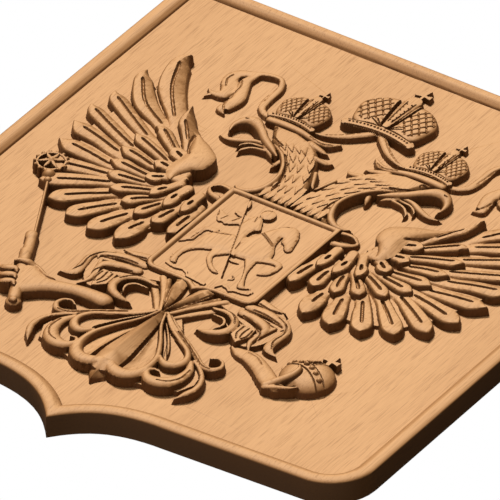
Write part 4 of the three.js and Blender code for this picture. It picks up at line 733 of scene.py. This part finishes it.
def left_foot(r):
    """Leg and the toes that grip the sceptre."""
    leg = [(-33, -103), (-34, -109), (-38, -112.4), (-47, -112), (-58, -112.4), (-68, -115.6),
           (-77, -120.6), (-87, -129), (-94, -130), (-103, -104), (-96, -98.5), (-88, -102),
           (-80, -104.6), (-70, -102.4), (-58, -99.6), (-46, -98.6), (-38, -99)]
    r.plate(leg, 3.4, bevel=0.8, drop=0.8, dome=4.4, reach=7.5)
    r.band([(-99, -98.6, 2.4, 2, 6.4), (-92, -101, 2.4, 2, 7), (-84, -105.4, 2, 2, 7.8),
            (-76, -106.4, 1, 1, 7.6)],
           edge=0.8, form="swell")
    r.band([(-97, -112, 1.6, 1.6, 7), (-90, -112, 2, 2, 8), (-83, -116, 0.6, 0.6, 7.4)], edge=0.86,
           form="swell")
    for rows in ([(-114.5, -111, 2, 2, 5), (-109, -113.4, 3, 3, 8.4), (-102.5, -112.4, 2.6, 2.6, 9.4),
                  (-99.5, -114.6, 0.8, 0.8, 8.6)],
                 [(-111, -118, 2, 2, 5), (-105.6, -120, 2.8, 2.8, 8.4), (-99.4, -118.6, 2.4, 2.4, 9.4),
                  (-96.4, -120.8, 0.8, 0.8, 8.6)],
                 [(-107, -124.6, 2, 2, 5), (-102, -126.4, 2.8, 2.8, 8.4), (-96, -124.8, 2.4, 2.4, 9.4),
                  (-93, -127, 0.8, 0.8, 8.6)],
                 [(-95, -100, 2, 2, 6), (-99.6, -101, 2.6, 2.6, 8.6), (-104.6, -102.6, 2.2, 2.2, 9.2),
                  (-107.6, -105, 0.8, 0.8, 8.6)]):
        r.band([(u, v, a + 0.6, b + 0.6, h + 0.6) for u, v, a, b, h in rows], edge=0.7)


def orb_and_foot(r):
    """Leg, the beaded orb with its cross, and the claws round it."""
    r.band([(51, -97, 0.5, 2.4), (60, -100.6, 5.4, 4.6, 3.6), (70, -102.6, 7, 6, 4.8),
            (82, -109, 7, 6.6, 6), (93, -117, 7.4, 7, 6.8), (102, -121, 6, 6.8)], edge=0.5)
    r.boss(111, -100, 18.6, 9.2, shoulder=0.16, wall=0.8)
    girdle = [(92.6, -95.4), (97, -94), (102, -93.6), (107, -94.8), (112, -96.8), (117, -99.8),
              (122, -103.6), (126, -107.4)]
    upright = [(107.4, -92.6), (110, -88), (112.4, -84)]
    for line in (girdle, upright):
        r.emboss(line, 3.3, 0.5)
        for offset in (-2.9, 2.9):
            r.groove([(u + 0.35 * offset, v + offset) if line is girdle else (u + offset,
                                                                              v + 0.5 * offset)
                      for u, v in line], 0.5, 1.3, taper=1)
    for u, v in girdle[:-1] + [upright[0], (109.1, -89.7), upright[1] + np.array((0.8, 1.4))]:
        r.emboss([(u + 0.4, v), (u + 0.5, v)], 1.7, 1.7, form="round")
    r.plate([(113.5, -84.5), (117, -84.5), (117, -81), (121.6, -82.4), (122, -77.4), (118, -77.8),
             (118.4, -72.4), (113, -74), (113.6, -78), (109.4, -76.4), (109, -80.4), (113, -80.8)], 5.6,
            smooth=False, wall=0.4)
    r.band([(95, -123, 3.6, 7), (101, -116, 3.8, 9), (106, -109.4, 3.6, 11), (107.4, -103.6, 3, 11.9),
            (105.2, -99.6, 1.6, 11)], edge=0.55)
    r.band([(96, -125, 3, 6.4), (104, -122.4, 2.6, 7.6), (111, -119.4, 2, 7.8),
            (116.6, -114.5, 0.4, 7.6)], edge=0.6)
    r.groove([(101, -121), (107, -118.6), (112, -114.6)], 0.8, 1.6)
    r.groove([(66, -99), (74, -101), (82, -107)], 0.6, 0.7)


def rim(r):
    """Bead along the edge, rolled over at the outside and easing down to the field."""
    near = ((np.abs(r.u) > WIDTH / 2 - CORNER) | (r.v > HEIGHT / 2 - RIM - 2)
            | (r.v < DROP + RIM + CORNER - HEIGHT / 2))
    fu, fv = r.u[near], r.v[near]
    best = np.full(fu.shape, 1e9)
    for a, b in zip(OUTLINE, np.roll(OUTLINE, -1, axis=0)):
        best = np.minimum(best, to_segment(fu, fv, a, b)[0])
    inside = np.sqrt(best)
    across = np.clip(2 * inside / RIM - 1, -1, 1)
    outer = RIM_EDGE + (RIM_CREST - RIM_EDGE) * np.sqrt(1 - across ** 2)
    inner = RIM_FOOT + (RIM_CREST - RIM_FOOT) * (1 - np.clip(across, 0, 1) ** RIM_EASE)
    bead = np.where(across < 0, outer, inner) * np.clip((RIM - inside) / 0.5, 0, 1)
    r.z[near] = np.maximum(r.z[near], np.where(inside < RIM, bead, 0))


def carve():
    """The whole relief, cut off at its highest plane."""
    r = Relief()
    for side in (1, -1):
        wing(r, side)
    for side in (1, -1):
        ribbons(r, side)
        head(r, side)
        plumes(r, side)
        tail(r, side)
        crown(r, *SIDE_CROWN, side=side)
    crown(r, *MIDDLE_CROWN)
    left_foot(r)
    orb_and_foot(r)
    sceptre(r)
    cup_blade(r)
    breast_shield(r)
    rider(r)
    rim(r)
    r.z = np.clip(r.z, 0, HIGHEST)
    return r


# Mesh

def split_errors(z, u, v):
    """Error of leaving out each grid point, never less than that of the points that need it."""
    n = GRID
    error = np.zeros_like(z)
    edge_row = np.zeros(z.shape, bool)
    edge_row[0, :] = edge_row[-1, :] = edge_row[:, 0] = edge_row[:, -1] = True

    down, across = np.gradient(z, HEIGHT / n, WIDTH / n)
    steep = np.sqrt(1 + down ** 2 + across ** 2)

    def own(mid, a, b):
        gap = np.abs(z[mid] - 0.5 * (z[a] + z[b])) / steep[mid]
        plan = np.hypot(u[mid] - 0.5 * (u[a] + u[b]), v[mid] - 0.5 * (v[a] + v[b]))
        return np.maximum(gap, np.where(edge_row[mid], plan * 3, 0))

    h = 1
    while h <= n // 2:
        odd = np.arange(h, n, 2 * h)
        even = np.arange(0, n + 1, 2 * h)
        for first, second in ((odd, even), (even, odd)):
            i, j = np.meshgrid(first, second, indexing="ij")
            if first is odd:
                value = own((i, j), (i - h, j), (i + h, j))
            else:
                value = own((i, j), (i, j - h), (i, j + h))
            if h > 1:
                q = h // 2
                for di in (-q, q):
                    for dj in (-q, q):
                        a, b = i + di, j + dj
                        fine = (a >= 0) & (a <= n) & (b >= 0) & (b <= n)
                        value = np.maximum(value, np.where(
                            fine, error[np.clip(a, 0, n), np.clip(b, 0, n)], 0))
            error[i, j] = value
        i, j = np.meshgrid(odd, odd, indexing="ij")
        rising = (((i - h) // (2 * h) + (j - h) // (2 * h)) % 2) == 0
        k = np.where(rising, h, -h)
        value = own((i, j), (i - h, j - k), (i + h, j + k))
        for a, b in ((i - h, j), (i + h, j), (i, j - h), (i, j + h)):
            value = np.maximum(value, error[a, b])
        error[i, j] = value
        h *= 2
    return error


def triangles_at(error, limit):
    """Triangles of the grid, each split until what it leaves out is under the limit."""
    n = GRID
    tri = np.array([[[0, 0], [n, n], [n, 0]], [[n, n], [0, 0], [0, n]]])
    done = []
    while len(tri):
        a, b, c = tri[:, 0], tri[:, 1], tri[:, 2]
        middle = (a + b) // 2
        can = np.abs(a - b).max(1) > 1
        split = can & (error[middle[:, 0], middle[:, 1]] > limit)
        done.append(tri[~split])
        a, b, c, m = a[split], b[split], c[split], middle[split]
        tri = np.concatenate([np.stack([c, a, m], 1), np.stack([b, c, m], 1)])
    return np.concatenate(done)


def keep_flat_shading(mesh):
    """Draws a sharp line round the level wood, so that no slope shades it."""
    level = [-p.normal.y > LEVEL for p in mesh.polygons]
    touching = {}
    for polygon in mesh.polygons:
        for key in polygon.edge_keys:
            touching.setdefault(key, []).append(level[polygon.index])
    sharp = mesh.attributes["sharp_edge"].data
    for edge in mesh.edges:
        sides = touching[tuple(sorted(edge.vertices))]
        if any(sides) and not all(sides):
            sharp[edge.index].value = True


def carved_board():
    """Board whose front is the relief, thinned to the triangles it may have."""
    r = carve()
    error = split_errors(r.z, r.u, r.v)
    tri = triangles_at(error, TOLERANCE)
    index = tri[:, :, 0] * (GRID + 1) + tri[:, :, 1]
    used, faces = np.unique(index, return_inverse=True)
    faces = faces.reshape(index.shape)
    i, j = used // (GRID + 1), used % (GRID + 1)
    front = np.c_[r.u[i, j], -THICKNESS - r.z[i, j], r.v[i, j]] * MM
    a, b, c = front[faces[:, 0]], front[faces[:, 1]], front[faces[:, 2]]
    turned = np.cross(b - a, c - a)[:, 1] > 0
    faces[turned] = faces[turned][:, ::-1]

    # Walls and back: the front's border, drawn straight back to the flat back face
    pairs = np.concatenate([faces[:, (0, 1)], faces[:, (1, 2)], faces[:, (2, 0)]])
    key = pairs[:, 0].astype(np.int64) * len(used) + pairs[:, 1]
    back_key = pairs[:, 1].astype(np.int64) * len(used) + pairs[:, 0]
    border = pairs[~np.isin(key, back_key)]
    follows = {int(a): int(b) for a, b in border}
    start = int(border[0, 0])
    ring = [start]
    for _ in range(len(border) - 1):
        ring.append(follows[ring[-1]])
    count = len(used)
    behind = front[ring] * (1, 0, 1)
    points = np.concatenate([front, behind])
    polygons = [tuple(map(int, f)) for f in faces]
    for k, p in enumerate(ring):
        n = (k + 1) % len(ring)
        polygons.append((ring[n], p, count + k, count + n))
    polygons.append(tuple(count + k for k in reversed(range(len(ring)))))
    mesh = bpy.data.meshes.new("carved_board")
    mesh.from_pydata(points.tolist(), [], polygons)
    mesh.update()
    mesh.validate()
    piece = bpy.data.objects.new("carved_board", mesh)
    bpy.context.scene.collection.objects.link(piece)
    for polygon in mesh.polygons:
        polygon.use_smooth = True
    thin = piece.modifiers.new("thin", "DECIMATE")
    thin.ratio = TRIANGLES / len(faces)
    thin.use_collapse_triangulate = True
    graph = bpy.context.evaluated_depsgraph_get()
    thinned = bpy.data.meshes.new_from_object(piece.evaluated_get(graph))
    piece.modifiers.clear()
    piece.data = thinned
    bpy.data.meshes.remove(mesh)
    thinned.set_sharp_from_angle(angle=SHARP_BEND)
    keep_flat_shading(thinned)
    return piece


# Wood

def wood():
    """Pale wood whose grain runs up the board, with painted shade that darkens its colour on steep
    cuts.
    """
    m = bpy.data.materials.new("light_wood")
    m.use_nodes = True
    nodes, links = m.node_tree.nodes, m.node_tree.links
    nodes.clear()
    out = nodes.new("ShaderNodeOutputMaterial")
    shader = nodes.new("ShaderNodeBsdfPrincipled")
    links.new(shader.outputs[0], out.inputs[0])
    place = nodes.new("ShaderNodeTexCoord")

    def scaled(x, y, z):
        node = nodes.new("ShaderNodeMapping")
        node.inputs["Scale"].default_value = (x, y, z)
        links.new(place.outputs["Object"], node.inputs["Vector"])
        return node.outputs["Vector"]

    def noise(vector, scale, detail, rough=0.5):
        node = nodes.new("ShaderNodeTexNoise")
        node.inputs["Scale"].default_value = scale
        node.inputs["Detail"].default_value = detail
        node.inputs["Roughness"].default_value = rough
        links.new(vector, node.inputs["Vector"])
        return node.outputs["Fac"]

    def ramp(value, stops):
        node = nodes.new("ShaderNodeValToRGB")
        for k, (at, colour) in enumerate(stops):
            stop = node.color_ramp.elements[k] if k < 2 else node.color_ramp.elements.new(at)
            stop.position = at
            stop.color = (*colour, 1)
        links.new(value, node.inputs["Fac"])
        return node.outputs["Color"]

    def mix(kind, factor, a, b):
        node = nodes.new("ShaderNodeMix")
        node.data_type = "RGBA"
        node.blend_type = kind
        node.inputs["Factor"].default_value = factor
        links.new(a, node.inputs["A"])
        links.new(b, node.inputs["B"])
        return node.outputs["Result"]

    bands = noise(scaled(1, 1, 0.10), 26, 3)
    streaks = noise(scaled(1, 1, GRAIN_STRETCH), 1500, 2, 0.6)
    pores = noise(scaled(1, 1, GRAIN_STRETCH), 1900, 1, 0.5)
    streaked = mix("MULTIPLY", STREAK_SHARE, ramp(bands, TONES), ramp(streaks, STREAKS))
    flat = mix("MULTIPLY", FLECK_SHARE, streaked, ramp(pores, FLECKS))

    # Painted shade: the steeper a cut, the darker its colour is painted, standing in for the shade on
    # slopes and walls
    turned = nodes.new("ShaderNodeSeparateXYZ")
    links.new(place.outputs["Normal"], turned.inputs[0])
    level = nodes.new("ShaderNodeMath")
    level.operation = "ABSOLUTE"
    links.new(turned.outputs["Y"], level.inputs[0])
    painted_slope_shade = ramp(level.outputs[0], PAINTED_SLOPE_SHADE)
    colour = mix("MULTIPLY", 1.0, flat, painted_slope_shade)
    links.new(colour, shader.inputs["Base Color"])
    rough = nodes.new("ShaderNodeMapRange")
    rough.inputs["To Min"].default_value = 0.52
    rough.inputs["To Max"].default_value = 0.72
    links.new(streaks, rough.inputs["Value"])
    links.new(rough.outputs["Result"], shader.inputs["Roughness"])
    shader.inputs["Specular IOR Level"].default_value = 0.25
    bump = nodes.new("ShaderNodeBump")
    bump.inputs["Strength"].default_value = 0.05
    bump.inputs["Distance"].default_value = 0.0002
    links.new(streaks, bump.inputs["Height"])
    links.new(bump.outputs["Normal"], shader.inputs["Normal"])
    return m


# Stage, light and camera: the view slants across the board, as in the photo

TOWARDS_CAMERA = Vector((0.461, -0.5791, -0.6725)).normalized()
UP_IN_VIEW = Vector((-0.3274, -0.8153, 0.4776))
RIGHT_IN_VIEW = Vector((0.8248, 0.0, 0.5654))
AIM = Vector((0.4, -THICKNESS + 1.0, -1.5)) * MM
LENS = 1200.0
VIEW_WIDTH = 0.315


def camera():
    """Long lens at the viewing angle of the photo."""
    data = bpy.data.cameras.new("camera")
    data.lens = LENS
    data.sensor_width = 36.0
    distance = VIEW_WIDTH / 2 * LENS / 18
    data.clip_start = 0.1
    data.clip_end = 100.0
    thing = bpy.data.objects.new("camera", data)
    back = TOWARDS_CAMERA
    right = RIGHT_IN_VIEW - RIGHT_IN_VIEW.dot(back) * back
    right.normalize()
    up = back.cross(right)
    turn = Matrix((right, up, back)).transposed().to_4x4()
    thing.matrix_world = Matrix.Translation(AIM + back * distance) @ turn
    bpy.context.scene.collection.objects.link(thing)
    bpy.context.scene.camera = thing


def light():
    """One soft sun, and a white surround that lights the shade a little."""
    sun = bpy.data.lights.new("key", "SUN")
    sun.energy = SUN_STRENGTH
    sun.angle = SUN_WIDTH
    thing = bpy.data.objects.new("key", sun)
    towards = Vector(SUN_TOWARDS).normalized()
    thing.rotation_euler = towards.to_track_quat("Z", "Y").to_euler()
    bpy.context.scene.collection.objects.link(thing)
    world = bpy.data.worlds.new("studio")
    bpy.context.scene.world = world
    world.use_nodes = True
    nodes, links = world.node_tree.nodes, world.node_tree.links
    nodes.clear()
    out = nodes.new("ShaderNodeOutputWorld")
    seen = nodes.new("ShaderNodeBackground")
    seen.inputs["Color"].default_value = (1, 1, 1, 1)
    seen.inputs["Strength"].default_value = 1.0
    lit = nodes.new("ShaderNodeBackground")
    lit.inputs["Color"].default_value = (1, 1, 1, 1)
    lit.inputs["Strength"].default_value = SKY_STRENGTH
    path = nodes.new("ShaderNodeLightPath")
    blend = nodes.new("ShaderNodeMixShader")
    links.new(path.outputs["Is Camera Ray"], blend.inputs[0])
    links.new(lit.outputs[0], blend.inputs[1])
    links.new(seen.outputs[0], blend.inputs[2])
    links.new(blend.outputs[0], out.inputs[0])


def floor():
    """Plain pale floor, far below the board."""
    mesh = bpy.data.meshes.new("floor")
    size, low = 30.0, -9.0
    mesh.from_pydata([(-size, -size, low), (size, -size, low), (size, size, low), (-size, size, low)],
                     [], [(0, 1, 2, 3)])
    thing = bpy.data.objects.new("floor", mesh)
    paint = bpy.data.materials.new("pale_floor")
    paint.use_nodes = True
    shader = paint.node_tree.nodes["Principled BSDF"]
    shader.inputs["Base Color"].default_value = (0.9, 0.9, 0.9, 1)
    shader.inputs["Roughness"].default_value = 0.9
    mesh.materials.append(paint)
    bpy.context.scene.collection.objects.link(thing)


plaque = carved_board()
plaque.data.materials.append(wood())
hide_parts("carved_shield_plaque")
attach(plaque, "root")
camera()
light()
floor()
bpy.context.scene.view_settings.view_transform = "Standard"
